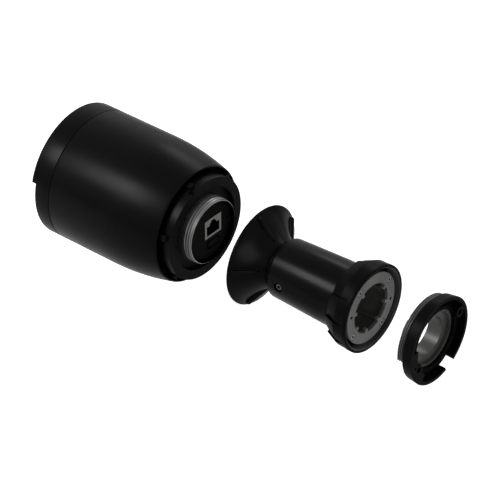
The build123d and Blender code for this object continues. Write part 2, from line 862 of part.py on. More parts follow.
with BuildPart() as lens_barrel:
    barrel_back = sensor_board_front - image_sensor_thickness - lens_mount_base
    barrel_bore_r = lens_barrel_rear_r - lens_barrel_wall
    head_back = lens_front + lens_barrel_head
    with BuildSketch(Plane.XY):
        band(lens_front, head_back, lens_element_r, lens_barrel_r)
        band(head_back, barrel_back, barrel_bore_r, lens_barrel_rear_r)
        band(head_back - lens_barrel_wall, head_back, barrel_bore_r, lens_barrel_r)
    revolve(axis=Axis.X)
    chamfer(lens_barrel.edges().group_by(Axis.X)[0].sort_by(SortBy.RADIUS)[0], length=lens_edge)
lens_barrel.part.label = "lens_barrel"
export_step(lens_barrel.part, "parts/lens_barrel.step")

with BuildPart() as lens_front_element:
    element_x = lens_front + lens_hood_depth + lens_element_bulge
    element_r = lens_element_r - press_gap
    dome_r = (element_r**2 + lens_element_bulge**2) / (2 * lens_element_bulge)
    dome_sweep = degrees(asin(element_r / dome_r))
    with BuildSketch(Plane.XY):
        with BuildLine():
            dome_centre = (element_x - lens_element_bulge + dome_r, 0)
            dome = CenterArc(dome_centre, dome_r, 180 - dome_sweep, dome_sweep)
            Polyline(
                dome @ 1,
                (element_x + lens_element_thickness, 0),
                (element_x + lens_element_thickness, element_r),
                dome @ 0,
            )
        make_face()
    revolve(axis=Axis.X)
lens_front_element.part.label = "lens_front_element"
export_step(lens_front_element.part, "parts/lens_front_element.step")

with BuildPart() as lens_rear_element:
    with BuildSketch(Plane.XY):
        rear_element_x = barrel_back - 2 * lens_element_thickness
        band(rear_element_x, rear_element_x + lens_element_thickness, 0, barrel_bore_r - press_gap)
    revolve(axis=Axis.X)
    chamfer(lens_rear_element.edges().group_by(Axis.X)[0], length=lens_edge)
lens_rear_element.part.label = "lens_rear_element"
export_step(lens_rear_element.part, "parts/lens_rear_element.step")

with BuildPart() as lens_mount:
    mount_front = sensor_board_front - lens_mount_length
    mount_inner_r = lens_barrel_rear_r + press_gap
    with BuildSketch(cross_plane(sensor_board_front - lens_mount_base)):
        RectangleRounded(lens_mount_side, lens_mount_side, 2)
        Circle(mount_inner_r, mode=Mode.SUBTRACT)
    extrude(amount=lens_mount_base)
    with BuildSketch(cross_plane(mount_front)):
        Circle(mount_inner_r + lens_mount_wall)
        Circle(mount_inner_r, mode=Mode.SUBTRACT)
    extrude(amount=lens_mount_length)
lens_mount.part.label = "lens_mount"
export_step(lens_mount.part, "parts/lens_mount.step")

with BuildPart() as image_sensor:
    with BuildSketch(cross_plane(sensor_board_front)):
        Rectangle(image_sensor_width, image_sensor_height)
    extrude(amount=-image_sensor_thickness)
    with BuildSketch(cross_plane(sensor_board_front - image_sensor_thickness)):
        Rectangle(image_sensor_width - 2 * image_sensor_frame, image_sensor_height - 2 * image_sensor_frame)
    extrude(amount=image_sensor_window, mode=Mode.SUBTRACT)
image_sensor.part.label = "image_sensor"
export_step(image_sensor.part, "parts/image_sensor.step")

with BuildPart() as light_baffle:
    with BuildSketch(Plane.XY):
        band(glass_back, led_board_front, baffle_r - baffle_wall, baffle_r)
    revolve(axis=Axis.X)
light_baffle.part.label = "light_baffle"
export_step(light_baffle.part, "parts/light_baffle.step")

with BuildPart() as led_board:
    with BuildSketch(cross_plane(led_board_front)):
        Circle(led_board_r)
        Circle(led_board_bore_r, mode=Mode.SUBTRACT)
    extrude(amount=board_thickness)
led_board.part.label = "led_board"
export_step(led_board.part, "parts/led_board.step")

with BuildPart() as infrared_leds:
    with BuildSketch(cross_plane(led_board_front)):
        with PolarLocations(led_circle_r, led_count, start_angle=led_start_angle):
            Circle(led_r)
    extrude(amount=-led_height)
    chamfer(infrared_leds.edges().group_by(Axis.X)[0], length=led_dome)
infrared_leds.part.label = "infrared_leds"
export_step(infrared_leds.part, "parts/infrared_leds.step")

# Boards


def board_screw_spots(circle_r):
    """The four screw places on a board."""
    return PolarLocations(circle_r, board_corners, start_angle=standoff_angle)


with BuildPart() as sensor_board:
    with BuildSketch(cross_plane(sensor_board_front)):
        RectangleRounded(sensor_board_side, sensor_board_side, sensor_board_corner)
        with board_screw_spots(sensor_standoff_circle_r):
            Circle(standoff_hole_r, mode=Mode.SUBTRACT)
    extrude(amount=board_thickness)
sensor_board.part.label = "sensor_board"
export_step(sensor_board.part, "parts/sensor_board.step")

with BuildPart() as sensor_standoffs:
    with BuildSketch(cross_plane(sensor_board_front + board_thickness)):
        with board_screw_spots(sensor_standoff_circle_r):
            RegularPolygon(standoff_r, hex_sides)
    extrude(amount=sensor_board_to_main_board - board_thickness)
    with BuildSketch(cross_plane(sensor_board_front + board_thickness)):
        with board_screw_spots(sensor_standoff_circle_r):
            Circle(standoff_hole_r)
    extrude(amount=standoff_hole_depth, mode=Mode.SUBTRACT)
sensor_standoffs.part.label = "sensor_standoffs"
export_step(sensor_standoffs.part, "parts/sensor_standoffs.step")

with BuildPart() as main_board:
    with BuildSketch(cross_plane(main_board_front)):
        Circle(main_board_r)
        Rectangle(2 * main_board_r, 2 * main_board_flat, mode=Mode.INTERSECT)
        with board_screw_spots(main_standoff_circle_r):
            Circle(standoff_hole_r, mode=Mode.SUBTRACT)
    extrude(amount=board_thickness)
main_board.part.label = "main_board"
export_step(main_board.part, "parts/main_board.step")

with BuildPart() as processor:
    with BuildSketch(cross_plane(main_board_front + board_thickness)):
        Rectangle(processor_side, processor_side)
    extrude(amount=processor_height)
    chamfer(processor.edges().group_by(Axis.X)[-1], length=processor_edge)
processor.part.label = "processor"
export_step(processor.part, "parts/processor.step")

with BuildPart() as board_standoffs:
    chassis_plate_front = chassis_rear_x - chassis_rear_thickness
    with BuildSketch(cross_plane(main_board_front + board_thickness)):
        with board_screw_spots(main_standoff_circle_r):
            RegularPolygon(standoff_r, hex_sides)
    extrude(amount=chassis_plate_front - main_board_front - board_thickness)
    with BuildSketch(cross_plane(main_board_front + board_thickness)):
        with board_screw_spots(main_standoff_circle_r):
            Circle(standoff_hole_r)
    extrude(amount=standoff_hole_depth, mode=Mode.SUBTRACT)
board_standoffs.part.label = "board_standoffs"
export_step(board_standoffs.part, "parts/board_standoffs.step")

with BuildPart() as board_screws:
    for board_front, circle_r in (
        (sensor_board_front, sensor_standoff_circle_r),
        (main_board_front, main_standoff_circle_r),
    ):
        with BuildSketch(cross_plane(board_front)):
            with board_screw_spots(circle_r):
                Circle(board_screw_head_r)
        extrude(amount=-board_screw_head)
        with BuildSketch(cross_plane(board_front)):
            with board_screw_spots(circle_r):
                Circle(board_screw_r)
        extrude(amount=board_screw_length - board_screw_head)
board_screws.part.label = "board_screws"
export_step(board_screws.part, "parts/board_screws.step")

with BuildPart() as inner_chassis:
    leg_spots_r = chassis_leg_r - chassis_leg_thickness / 2
    leg_angle = cover_screw_angle + 180 / chassis_leg_count
    with BuildSketch(Plane.XY):
        band(chassis_front, chassis_front + chassis_ring_width, chassis_ring_bore_r, chassis_ring_r)
        band(chassis_plate_front, chassis_rear_x, chassis_rear_bore_r, rear_cover_flange_r)
    revolve(axis=Axis.X)
    with BuildSketch(cross_plane(chassis_front)):
        with PolarLocations(leg_spots_r, chassis_leg_count, start_angle=leg_angle):
            Rectangle(chassis_leg_thickness, chassis_leg_width)
    extrude(amount=chassis_rear_x - chassis_front)
    # Pillars that carry the port board
    with BuildSketch(cross_plane(chassis_rear_x)):
        with PolarLocations(port_board_r - pillar_r, chassis_leg_count, start_angle=leg_angle):
            Circle(pillar_r)
    extrude(amount=port_board_front - chassis_rear_x)
    with BuildSketch(cross_plane(chassis_plate_front)):
        with PolarLocations(cover_screw_circle_r, cover_screw_count, start_angle=cover_screw_angle):
            Circle(cover_screw_r + fit_gap)
    extrude(amount=chassis_rear_thickness, mode=Mode.SUBTRACT)
inner_chassis.part.label = "inner_chassis"
export_step(inner_chassis.part, "parts/inner_chassis.step")

with BuildPart() as cover_screws:
    with BuildSketch(cross_plane(chassis_plate_front - cover_screw_head)):
        with PolarLocations(cover_screw_circle_r, cover_screw_count, start_angle=cover_screw_angle):
            Circle(cover_screw_head_r)
    extrude(amount=cover_screw_head)
    with BuildSketch(cross_plane(chassis_plate_front)):
        with PolarLocations(cover_screw_circle_r, cover_screw_count, start_angle=cover_screw_angle):
            Circle(cover_screw_r)
    extrude(amount=cover_screw_length)
cover_screws.part.label = "cover_screws"
export_step(cover_screws.part, "parts/cover_screws.step")

# Rear cover and network port

with BuildPart() as rear_cover:
    cover_back = cover_x - rear_cover_depth
    channel_floor = cover_x - rear_channel_depth
    ring_hole_r = mount_ring_r + fit_gap
    with BuildSketch(Plane.XY):
        band(channel_floor - rear_cover_wall, cover_x, rear_channel_r, rear_cover_r)
        band(channel_floor - rear_cover_wall, channel_floor, ring_hole_r, rear_channel_r)
        band(cover_back, cover_x, rear_cover_r - rear_cover_wall, rear_cover_r)
        band(cover_back, cover_back + rear_cover_flange_width, rear_cover_r, rear_cover_flange_r)
    revolve(axis=Axis.X)
    with BuildSketch(cross_plane(cover_x - rear_channel_depth - rear_lug_length)):
        with PolarLocations(rear_cover_r, rear_lug_count, start_angle=rear_lug_angle):
            Rectangle(2 * rear_lug_reach, rear_lug_width)
    extrude(amount=rear_lug_length)
    # Alignment notch in the edge of the face
    with BuildSketch(cross_plane(cover_x)):
        with Locations(Location(polar_point(rear_cover_r, rear_key_angle), rear_key_angle)):
            Rectangle(2 * rear_key_depth, rear_key_width)
    extrude(amount=-rear_channel_depth, mode=Mode.SUBTRACT)
    with BuildSketch(cross_plane(cover_back)):
        with PolarLocations(cover_screw_circle_r, cover_screw_count, start_angle=cover_screw_angle):
            Circle(cover_screw_r + fit_gap)
    extrude(amount=rear_cover_flange_width, mode=Mode.SUBTRACT)
rear_cover.part.label = "rear_cover"
export_step(rear_cover.part, "parts/rear_cover.step")

with BuildPart() as cover_gasket:
    with BuildSketch(Plane.XY):
        seal_back = cover_back + cover_gasket_edge
        seal_front = cover_back + rear_cover_flange_width - cover_gasket_edge
        band(seal_back, seal_front, rear_cover_flange_r + press_gap, cover_gasket_r)
    revolve(axis=Axis.X)
cover_gasket.part.label = "cover_gasket"
export_step(cover_gasket.part, "parts/cover_gasket.step")

with BuildPart() as mount_ring:
    ring_base_back = channel_floor - rear_cover_wall
    ring_bore_r = mount_ring_r - mount_ring_wall
    with BuildSketch(Plane.XY):
        band(ring_base_back - mount_ring_base, ring_end, ring_bore_r, mount_ring_r)
        band(ring_base_back - mount_ring_base, ring_base_back, ring_bore_r, mount_ring_base_r)
        thread_start = ring_end - mount_thread_start
        thread_grooves(
            thread_start,
            -mount_thread_pitch,
            mount_thread_turns,
            mount_ring_r,
            mount_thread_depth,
        )
    revolve(axis=Axis.X)
mount_ring.part.label = "mount_ring"
export_step(mount_ring.part, "parts/mount_ring.step")


def port_mouth():
    """The outline of the network socket's mouth, with its latch slot in two steps at the top."""
    floor_z = port_centre[1] - port_mouth_drop - port_mouth_height / 2
    top_z = floor_z + port_mouth_height
    with Locations((port_centre[0], floor_z + port_mouth_height / 2)):
        Rectangle(port_mouth_width, port_mouth_height)
    with Locations((port_centre[0], top_z + port_latch_height / 2)):
        Rectangle(port_latch_width, port_latch_height)
    with Locations((port_centre[0], top_z + port_latch_height + port_key_height / 2)):
        Rectangle(port_key_width, port_key_height)


with BuildPart() as port_plate:
    with BuildSketch(cross_plane(port_face)):
        Circle(ring_bore_r - fit_gap)
        with Locations(port_centre):
            Rectangle(port_width + 2 * fit_gap, port_height + 2 * fit_gap, mode=Mode.SUBTRACT)
        with Locations(reset_centre):
            pocket_corner = reset_corner + gap
            pocket_width = reset_width + 2 * gap
            pocket_height = reset_height + 2 * gap
            RectangleRounded(pocket_width, pocket_height, pocket_corner, mode=Mode.SUBTRACT)
        with Locations(status_light_centre):
            Circle(status_light_r + screw_fit, mode=Mode.SUBTRACT)
    extrude(amount=-port_plate_thickness)
port_plate.part.label = "port_plate"
export_step(port_plate.part, "parts/port_plate.step")

with BuildPart() as port_shield:
    shield_front = port_face + port_shield_proud
    shield_inner_width = port_width - 2 * port_shield_wall
    shield_inner_height = port_height - 2 * port_shield_wall
    with BuildSketch(cross_plane(jack_back)):
        with Locations(port_centre):
            Rectangle(port_width, port_height)
    extrude(amount=shield_front - jack_back)
    with BuildSketch(cross_plane(jack_back)):
        with Locations(port_centre):
            Rectangle(shield_inner_width, shield_inner_height)
    extrude(amount=shield_front - port_shield_wall - jack_back, mode=Mode.SUBTRACT)
    with BuildSketch(cross_plane(shield_front)):
        port_mouth()
    extrude(amount=-port_shield_wall, mode=Mode.SUBTRACT)
port_shield.part.label = "port_shield"
export_step(port_shield.part, "parts/port_shield.step")

with BuildPart() as port_insert:
    insert_front = shield_front - port_shield_wall
    with BuildSketch(cross_plane(jack_back)):
        with Locations(port_centre):
            Rectangle(shield_inner_width - press_gap, shield_inner_height - press_gap)
    extrude(amount=insert_front - jack_back)
    with BuildSketch(cross_plane(insert_front)):
        port_mouth()
    extrude(amount=-port_mouth_depth, mode=Mode.SUBTRACT)
port_insert.part.label = "port_insert"
export_step(port_insert.part, "parts/port_insert.step")

with BuildPart() as port_contacts:
    contact_floor = port_centre[1] - port_mouth_drop - port_mouth_height / 2
    contact_back = insert_front - port_mouth_depth
    for contact in range(contact_count):
        contact_y = port_centre[0] + (contact - (contact_count - 1) / 2) * contact_pitch
        with BuildSketch(Plane(origin=(0, contact_y, 0), x_dir=(1, 0, 0), z_dir=(0, -1, 0))):
            Polygon(
                (contact_back, contact_floor),
                (insert_front - contact_setback, contact_floor),
                (contact_back, contact_floor + contact_rise),
                align=None,
            )
        extrude(amount=contact_width / 2, both=True)
port_contacts.part.label = "port_contacts"
export_step(port_contacts.part, "parts/port_contacts.step")

with BuildPart() as port_board:
    with BuildSketch(cross_plane(port_board_front)):
        Circle(port_board_r)
    extrude(amount=board_thickness)
port_board.part.label = "port_board"
export_step(port_board.part, "parts/port_board.step")

with BuildPart() as status_light:
    with BuildSketch(cross_plane(jack_back)):
        with Locations(status_light_centre):
            Circle(status_light_r)
    extrude(amount=port_depth)
status_light.part.label = "status_light"
export_step(status_light.part, "parts/status_light.step")

with BuildPart() as reset_button:
    reset_flange_front = port_plate_back - gap
    with BuildSketch(cross_plane(port_face)):
        with Locations(reset_centre):
            RectangleRounded(reset_width, reset_height, reset_corner)
    extrude(amount=reset_flange_front - port_face)
    with BuildSketch(cross_plane(reset_flange_front)):
        with Locations(reset_centre):
            RectangleRounded(reset_width + 2 * reset_flange, reset_height + 2 * reset_flange, reset_corner)
    extrude(amount=-reset_flange_thickness)
reset_button.part.label = "reset_button"
export_step(reset_button.part, "parts/reset_button.step")

with BuildPart() as reset_switch:
    switch_top = reset_flange_front - reset_flange_thickness - reset_travel - fit_gap
    with BuildSketch(cross_plane(jack_back)):
        with Locations(reset_centre):
            Rectangle(switch_side, switch_side)
    extrude(amount=switch_height)
    with BuildSketch(cross_plane(jack_back + switch_height)):
        with Locations(reset_centre):
            Circle(switch_stem_r)
    extrude(amount=switch_top - jack_back - switch_height)
reset_switch.part.label = "reset_switch"
export_step(reset_switch.part, "parts/reset_switch.step")
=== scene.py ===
"""Looks of the tube security camera and its wall arm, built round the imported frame.

Every shape is worked out from the frame's own nodes in millimetres, which become metres where
a mesh is made. X is the tube's axis, the wall is at X = 0 and +Z is up. Angles are in degrees,
and those round the axis go from +Y toward +Z.
"""

import logging
import math
from dataclasses import dataclass
from enum import Enum
from typing import Callable, Sequence

import bmesh
import bpy
from mathutils import Matrix, Vector


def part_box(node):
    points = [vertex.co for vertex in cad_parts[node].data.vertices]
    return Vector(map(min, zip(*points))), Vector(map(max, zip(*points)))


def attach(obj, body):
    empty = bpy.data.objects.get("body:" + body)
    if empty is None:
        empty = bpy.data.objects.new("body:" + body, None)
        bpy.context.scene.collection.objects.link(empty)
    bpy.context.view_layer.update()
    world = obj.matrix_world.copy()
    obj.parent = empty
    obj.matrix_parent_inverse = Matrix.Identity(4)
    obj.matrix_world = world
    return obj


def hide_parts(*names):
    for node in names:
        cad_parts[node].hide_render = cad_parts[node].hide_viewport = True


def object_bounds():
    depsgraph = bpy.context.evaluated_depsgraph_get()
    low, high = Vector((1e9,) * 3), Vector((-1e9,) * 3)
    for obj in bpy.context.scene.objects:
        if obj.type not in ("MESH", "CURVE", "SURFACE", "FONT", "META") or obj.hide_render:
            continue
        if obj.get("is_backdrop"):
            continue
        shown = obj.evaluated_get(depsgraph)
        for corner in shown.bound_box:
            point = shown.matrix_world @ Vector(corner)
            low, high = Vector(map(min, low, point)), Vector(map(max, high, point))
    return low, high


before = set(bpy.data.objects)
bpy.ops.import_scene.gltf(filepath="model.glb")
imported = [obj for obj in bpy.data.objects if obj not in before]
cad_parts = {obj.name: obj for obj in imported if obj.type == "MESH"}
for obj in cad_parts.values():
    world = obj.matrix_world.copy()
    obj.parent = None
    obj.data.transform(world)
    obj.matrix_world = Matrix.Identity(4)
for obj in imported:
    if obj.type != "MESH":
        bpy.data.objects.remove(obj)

Point = tuple[float, float]
Corner = tuple[float, float, float]
Section = list[Point]
SectionAt = Callable[[float], Section]
Inputs = dict[str | int, object]
Piece = bpy.types.Object
Face = bpy.types.MeshPolygon
FaceTest = Callable[[Face], bool]
Socket = bpy.types.NodeSocket

MM = 0.001
AROUND = 360.0
SHARP = 32.0  # edges above this angle are shaded sharp
ROUNDED = 35.0  # edges above this angle are rounded
WHITE = (1.0, 1.0, 1.0, 1.0)
NOISE_REACH = (0.3, 0.7)  # the noise hardly leaves this
SLANT = 0.3  # a wall's normal has less than this along the axis
FACES_OUT = 0.9  # a normal with more than this along an axis looks that way
STEEP = 0.6  # the looser limit for bevelled sides and the grips' steps
FEW_SIDES = 8  # a face with more corners belongs to a large flat side
SAME_WAY = 0.99999  # the least cosine between faces of one flat side

log = logging.getLogger("camera_looks")


@dataclass(frozen=True)
class Nodes:
    """The nodes of one material or world."""

    tree: bpy.types.NodeTree

    def feed(self, node: bpy.types.Node, inputs: Inputs) -> None:
        """Fills a node's inputs: a socket is linked in, anything else is a constant.

        Args:
            node: the node.
            inputs: what goes in, by name or number.
        """
        for key, value in inputs.items():
            if isinstance(value, Socket):
                self.tree.links.new(value, node.inputs[key])
            else:
                node.inputs[key].default_value = value

    def add(self, kind: str, inputs: Inputs, operation: str = "") -> bpy.types.Node:
        """Adds a node and fills its inputs.

        Args:
            kind: the end of the node type's name.
            inputs: what goes in, by name or number.
            operation: what a maths node does.

        Returns:
            The new node.
        """
        node = self.tree.nodes.new(f"ShaderNode{kind}")
        if operation:
            node.operation = operation
        self.feed(node, inputs)
        return node

    def place(self) -> Socket:
        """Gives the piece's own coordinates."""
        made = self.tree.nodes.get("Texture Coordinate") or self.add("TexCoord", {})
        return made.outputs["Object"]

    def noise(self, size_mm: float, detail: float) -> Socket:
        """Adds a noise of the given feature size with that many finer octaves."""
        inputs = {"Vector": self.place(), "Scale": 1.0 / (size_mm * MM), "Detail": detail}
        return self.add("TexNoise", inputs).outputs["Fac"]


def add_object(name: str, data: bpy.types.ID) -> Piece:
    """Puts a new object into the scene.

    Args:
        name: its name.
        data: its mesh, lamp or camera.

    Returns:
        The object.
    """
    made = bpy.data.objects.new(name, data)
    bpy.context.scene.collection.objects.link(made)
    return made


class Grain(Enum):
    """The fine relief that a surface carries."""

    POWDER = "powder coat"
    MOULDED = "moulded plastic"
    TURNED = "turned metal"
    CAST = "cast metal"
    SMOOTH = "smooth"


@dataclass(frozen=True)
class Finish:
    """One surface finish: a colour with its grain, gloss and relief.

    Attributes:
        name: the material's name without its ending.
        color: the base colour, linear red, green and blue.
        roughness: the mean roughness.
        grain: which relief the surface carries.
        grain_mm: the size of one grain.
        relief_mm: how deep the grain is.
        variation: how far the colour wanders, as a share of itself.
        metallic: 1 for bare metal, 0 for paint and plastic.
        specular: the shader's specular level.
        coat: the weight of a clear coat.
        transmission: how much light passes, for glass.
        ior: the refractive index, low on a window with an anti-reflection coat.
    """

    name: str
    color: tuple[float, float, float]
    roughness: float
    grain: Grain = Grain.SMOOTH
    grain_mm: float = 0.4
    relief_mm: float = 0.01
    variation: float = 0.12
    metallic: float = 0.0
    specular: float = 0.5
    coat: float = 0.0
    transmission: float = 0.0
    ior: float = 1.5

    def material(self) -> bpy.types.Material:
        """Builds the node material, or finds it.

        Returns:
            The Blender material.
        """
        label = f"{self.name}_finish"
        found = bpy.data.materials.get(label)
        if found:
            return found
        made = bpy.data.materials.new(label)
        made.use_nodes = True
        nodes = Nodes(made.node_tree)
        inputs: Inputs = {
            "Base Color": self._colour(nodes),
            "Roughness": self._gloss(nodes),
            "Metallic": self.metallic,
            "Specular IOR Level": self.specular,
            "Coat Weight": self.coat,
            "Coat Roughness": 0.12,
            "Transmission Weight": self.transmission,
            "IOR": self.ior,
        }
        if self.grain is not Grain.SMOOTH:
            inputs["Normal"] = self._relief(nodes)
        nodes.feed(nodes.tree.nodes["Principled BSDF"], inputs)
        return made

    def _colour(self, nodes: Nodes) -> Socket:
        """Lets the base colour wander softly over the surface.

        Args:
            nodes: the material's nodes.

        Returns:
            The colour.
        """
        ramp = nodes.add("ValToRGB", {"Fac": nodes.noise(9.0, 4.0)})
        shares = (1.0 - self.variation, 1.0 + self.variation)
        for element, position, share in zip(ramp.color_ramp.elements, NOISE_REACH, shares):
            element.position = position
            element.color = (*(min(1.0, part * share) for part in self.color), 1.0)
        return ramp.outputs["Color"]

    def _gloss(self, nodes: Nodes) -> Socket:
        """Lets the roughness vary, as handling and cleaning leave it.

        Args:
            nodes: the material's nodes.

        Returns:
            The roughness.
        """
        spread = 0.12 * self.roughness
        inputs = {
            "Value": nodes.noise(22.0, 3.0),
            "From Min": NOISE_REACH[0],
            "From Max": NOISE_REACH[1],
            "To Min": self.roughness - spread,
            "To Max": self.roughness + spread,
        }
        return nodes.add("MapRange", inputs).outputs["Result"]

    def _relief(self, nodes: Nodes) -> Socket:
        """Bumps the surface: lathe rings, moulded pits, or the grains of a coat or a casting.

        Args:
            nodes: the material's nodes.

        Returns:
            The bumped normal.
        """
        pattern = {"Vector": nodes.place(), "Scale": 1.0 / (self.grain_mm * MM)}
        if self.grain is Grain.TURNED:
            pattern["Scale"] /= 6.0
            rings = nodes.add("TexWave", {**pattern, "Distortion": 0.6, "Detail": 3.0})
            rings.bands_direction = "X"
            height = rings.outputs["Fac"]
        elif self.grain is Grain.MOULDED:
            height = nodes.add("TexVoronoi", pattern).outputs["Distance"]
        else:
            height = nodes.noise(self.grain_mm, 6.0 if self.grain is Grain.CAST else 2.0)
        inputs = {"Height": height, "Strength": 0.6, "Distance": self.relief_mm * MM}
        return nodes.add("Bump", inputs).outputs["Normal"]


BODY_COAT = Finish(
    "satin_black_coat", (0.0009, 0.0009, 0.0010), 0.33, Grain.POWDER, 0.35, 0.006, specular=0.046
)
ARM_COAT = Finish(
    "arm_black_coat", (0.0008, 0.0008, 0.0009), 0.26, Grain.POWDER, 0.30, 0.005, specular=0.050
)
MOULDED_BLACK = Finish(
    "moulded_black", (0.0026, 0.0026, 0.0028), 0.36, Grain.MOULDED, 0.45, 0.008, specular=0.018
)
REAR_BLACK = Finish(
    "rear_cover_black", (0.0042, 0.0042, 0.0044), 0.42, Grain.MOULDED, 0.5, 0.010, specular=0.03
)
FACE_BLACK = Finish(
    "port_face_black", (0.0085, 0.0085, 0.0083), 0.55, Grain.MOULDED, 0.4, 0.008, specular=0.012
)
SILVER_THREAD = Finish(
    "turned_silver", (0.25, 0.25, 0.245), 0.36, Grain.TURNED, 0.18, 0.006, 0.08, 1.0
)
NICKEL_SHEET = Finish("nickel_sheet", (0.22, 0.22, 0.21), 0.34, Grain.CAST, 0.5, 0.004, 0.1, 1.0)
PLATE_GREY = Finish(
    "sintered_plate_grey", (0.135, 0.137, 0.133), 0.55, Grain.CAST, 0.35, 0.018, 0.14, 0.3
)
INSERT_GREY = Finish(
    "cast_insert_grey", (0.042, 0.042, 0.040), 0.38, Grain.CAST, 0.45, 0.015, 0.16, specular=0.4
)
SWIVEL_GREY = Finish(
    "swivel_ball_black", (0.002, 0.002, 0.002), 0.35, Grain.TURNED, 0.2, 0.006, 0.1, specular=0.04
)
BRIGHT_STEEL = Finish("bright_steel", (0.12, 0.12, 0.12), 0.3, Grain.CAST, 0.3, 0.004, 0.1, 1.0)
DARK_STEEL = Finish("dark_oxide_steel", (0.06, 0.06, 0.06), 0.4, Grain.CAST, 0.3, 0.006, 0.15, 0.6)
NYLON = Finish("natural_nylon", (0.55, 0.53, 0.47), 0.5, Grain.CAST, 0.6, 0.01, 0.05)
SOFT_RUBBER = Finish(
    "soft_rubber", (0.0025, 0.0025, 0.0025), 0.7, Grain.CAST, 0.4, 0.012, 0.2, specular=0.03
)
# Gold contacts darkened far below bright gold: painted shade of the socket's mouth.
GOLD_CONTACT_SHADED = Finish("gold_contact", (0.022, 0.016, 0.007), 0.35, variation=0.08, metallic=1.0)
BOARD_GREEN = Finish(
    "board_green", (0.010, 0.085, 0.032), 0.35, Grain.CAST, 1.2, 0.02, 0.25, coat=0.4
)
BOARD_BLACK = Finish(
    "board_black", (0.005, 0.005, 0.005), 0.6, Grain.CAST, 0.6, 0.008, 0.2, specular=0.04
)
CHIP_BLACK = Finish(
    "chip_black", (0.006, 0.006, 0.006), 0.55, Grain.MOULDED, 0.2, 0.006, specular=0.1
)
SCREW_GREY = Finish("zinc_screw_grey", (0.26, 0.26, 0.257), 0.45, Grain.CAST, 0.3, 0.004, 0.1, 0.6)
BORE_GREY = Finish(
    "machined_bore_grey", (0.085, 0.085, 0.078), 0.5, Grain.TURNED, 0.3, 0.004, 0.2, specular=0.1
)
THREAD_GREY = Finish("moulded_thread_grey", (0.040, 0.040, 0.040), 0.36, specular=0.10)
# Darker and less glossy than the ring's own moulding, for the ring's pocket: painted shade.
POCKET_PAINTED_SHADE = Finish(
    "pocket_painted_shade", (0.0012, 0.0012, 0.0012), 0.6, Grain.CAST, 0.5, 0.01, specular=0.02
)
CHASSIS_METAL = Finish("chassis_metal", (0.30, 0.31, 0.32), 0.42, Grain.CAST, 0.5, 0.015, 0.1, 0.9)
LAMP_RESIN = Finish("lamp_resin", (0.32, 0.30, 0.34), 0.12, variation=0.1, transmission=0.5)
STATUS_RESIN = Finish("status_resin", (0.0004, 0.0004, 0.0004), 0.5, variation=0.1, specular=0.0)
# Near-black without any sheen, put on faces in hollows, holes, gaps and behind edges: painted
# shade.
PAINTED_SHADE_BLACK = Finish(
    "painted_shade_black", (0.0005, 0.0005, 0.0005), 0.7, Grain.CAST, 0.5, 0.01, specular=0.0
)
DARK_WINDOW = Finish(
    "dark_window", (0.32, 0.32, 0.35), 0.02, variation=0.05, transmission=0.97, ior=1.14
)
LENS_GLASS = Finish("lens_glass", (0.55, 0.5, 0.75), 0.03, variation=0.1, transmission=0.9)


@dataclass(frozen=True)
class Span:
    """Where a CAD node lies along the axis and how far it reaches from it."""

    front: float
    back: float
    reach: float

    @classmethod
    def of(cls, node: str) -> "Span":
        """Reads a node's span from the frame.

        Args:
            node: the CAD node's name.

        Returns:
            Its span.
        """
        low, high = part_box(node)
        reach = max(-low.y, high.y, -low.z, high.z)
        return cls(low.x / MM, high.x / MM, reach / MM)


@dataclass(frozen=True)
class Thread:
    """A helical groove.

    Attributes:
        pitch: from one turn to the next.
        depth: how far it is cut away from the axis, less than 0 on an outer thread.
        flank: half the groove's width, as a share of the pitch.
        fade: over which length it runs out at both ends.
        samples: straight pieces of its outline.
    """

    pitch: float
    depth: float
    flank: float
    fade: float
    samples: int

    def outline(self, angle: float, r: float, start: float, end: float) -> Section:
        """Works out the section of a threaded wall.

        Args:
            angle: the section's angle round the axis.
            r: the wall's radius.
            start: where along the axis it starts.
            end: where it ends.

        Returns:
            The section's points from start to end.
        """
        found = []
        for sample in range(self.samples + 1):
            x = start + (end - start) * sample / self.samples
            phase = (x / self.pitch - angle / AROUND) % 1.0
            groove = max(0.0, 1.0 - abs(phase - 0.5) / self.flank)
            fade = min(1.0, abs(end - x) / self.fade, abs(x - start) / self.fade)
            found.append((x, r + self.depth * groove * fade))
        return found


def full_turn(steps: int) -> list[float]:
    """Spreads angles over a whole turn."""
    return [AROUND * step / steps for step in range(steps)]


def rounded(corners: Sequence[Corner], steps: int = 5) -> Section:
    """Rounds the corners of a closed section.

    Args:
        corners: place along the axis, radius from the axis and corner rounding.
        steps: straight pieces in one rounding.

    Returns:
        The section's points.
    """
    section: Section = []
    for index, (x, r, rounding) in enumerate(corners):
        if rounding <= 0.0:
            section.append((x, r))
            continue
        here = Vector((x, r))
        before = Vector(corners[index - 1][:2]) - here
        after = Vector(corners[(index + 1) % len(corners)][:2]) - here
        half = before.angle(after) / 2.0
        reach = min(rounding / math.tan(half), 0.49 * before.length, 0.49 * after.length)
        before.normalize()
        after.normalize()
        middle = here + (before + after).normalized() * (reach * math.tan(half) / math.sin(half))
        start = here + before * reach - middle
        end = here + after * reach - middle
        sweep = math.atan2(start.x * end.y - start.y * end.x, start.dot(end))
        for step in range(steps + 1):
            turn = Matrix.Rotation(sweep * step / steps, 2) @ start
            section.append(tuple(middle + turn))
    return section


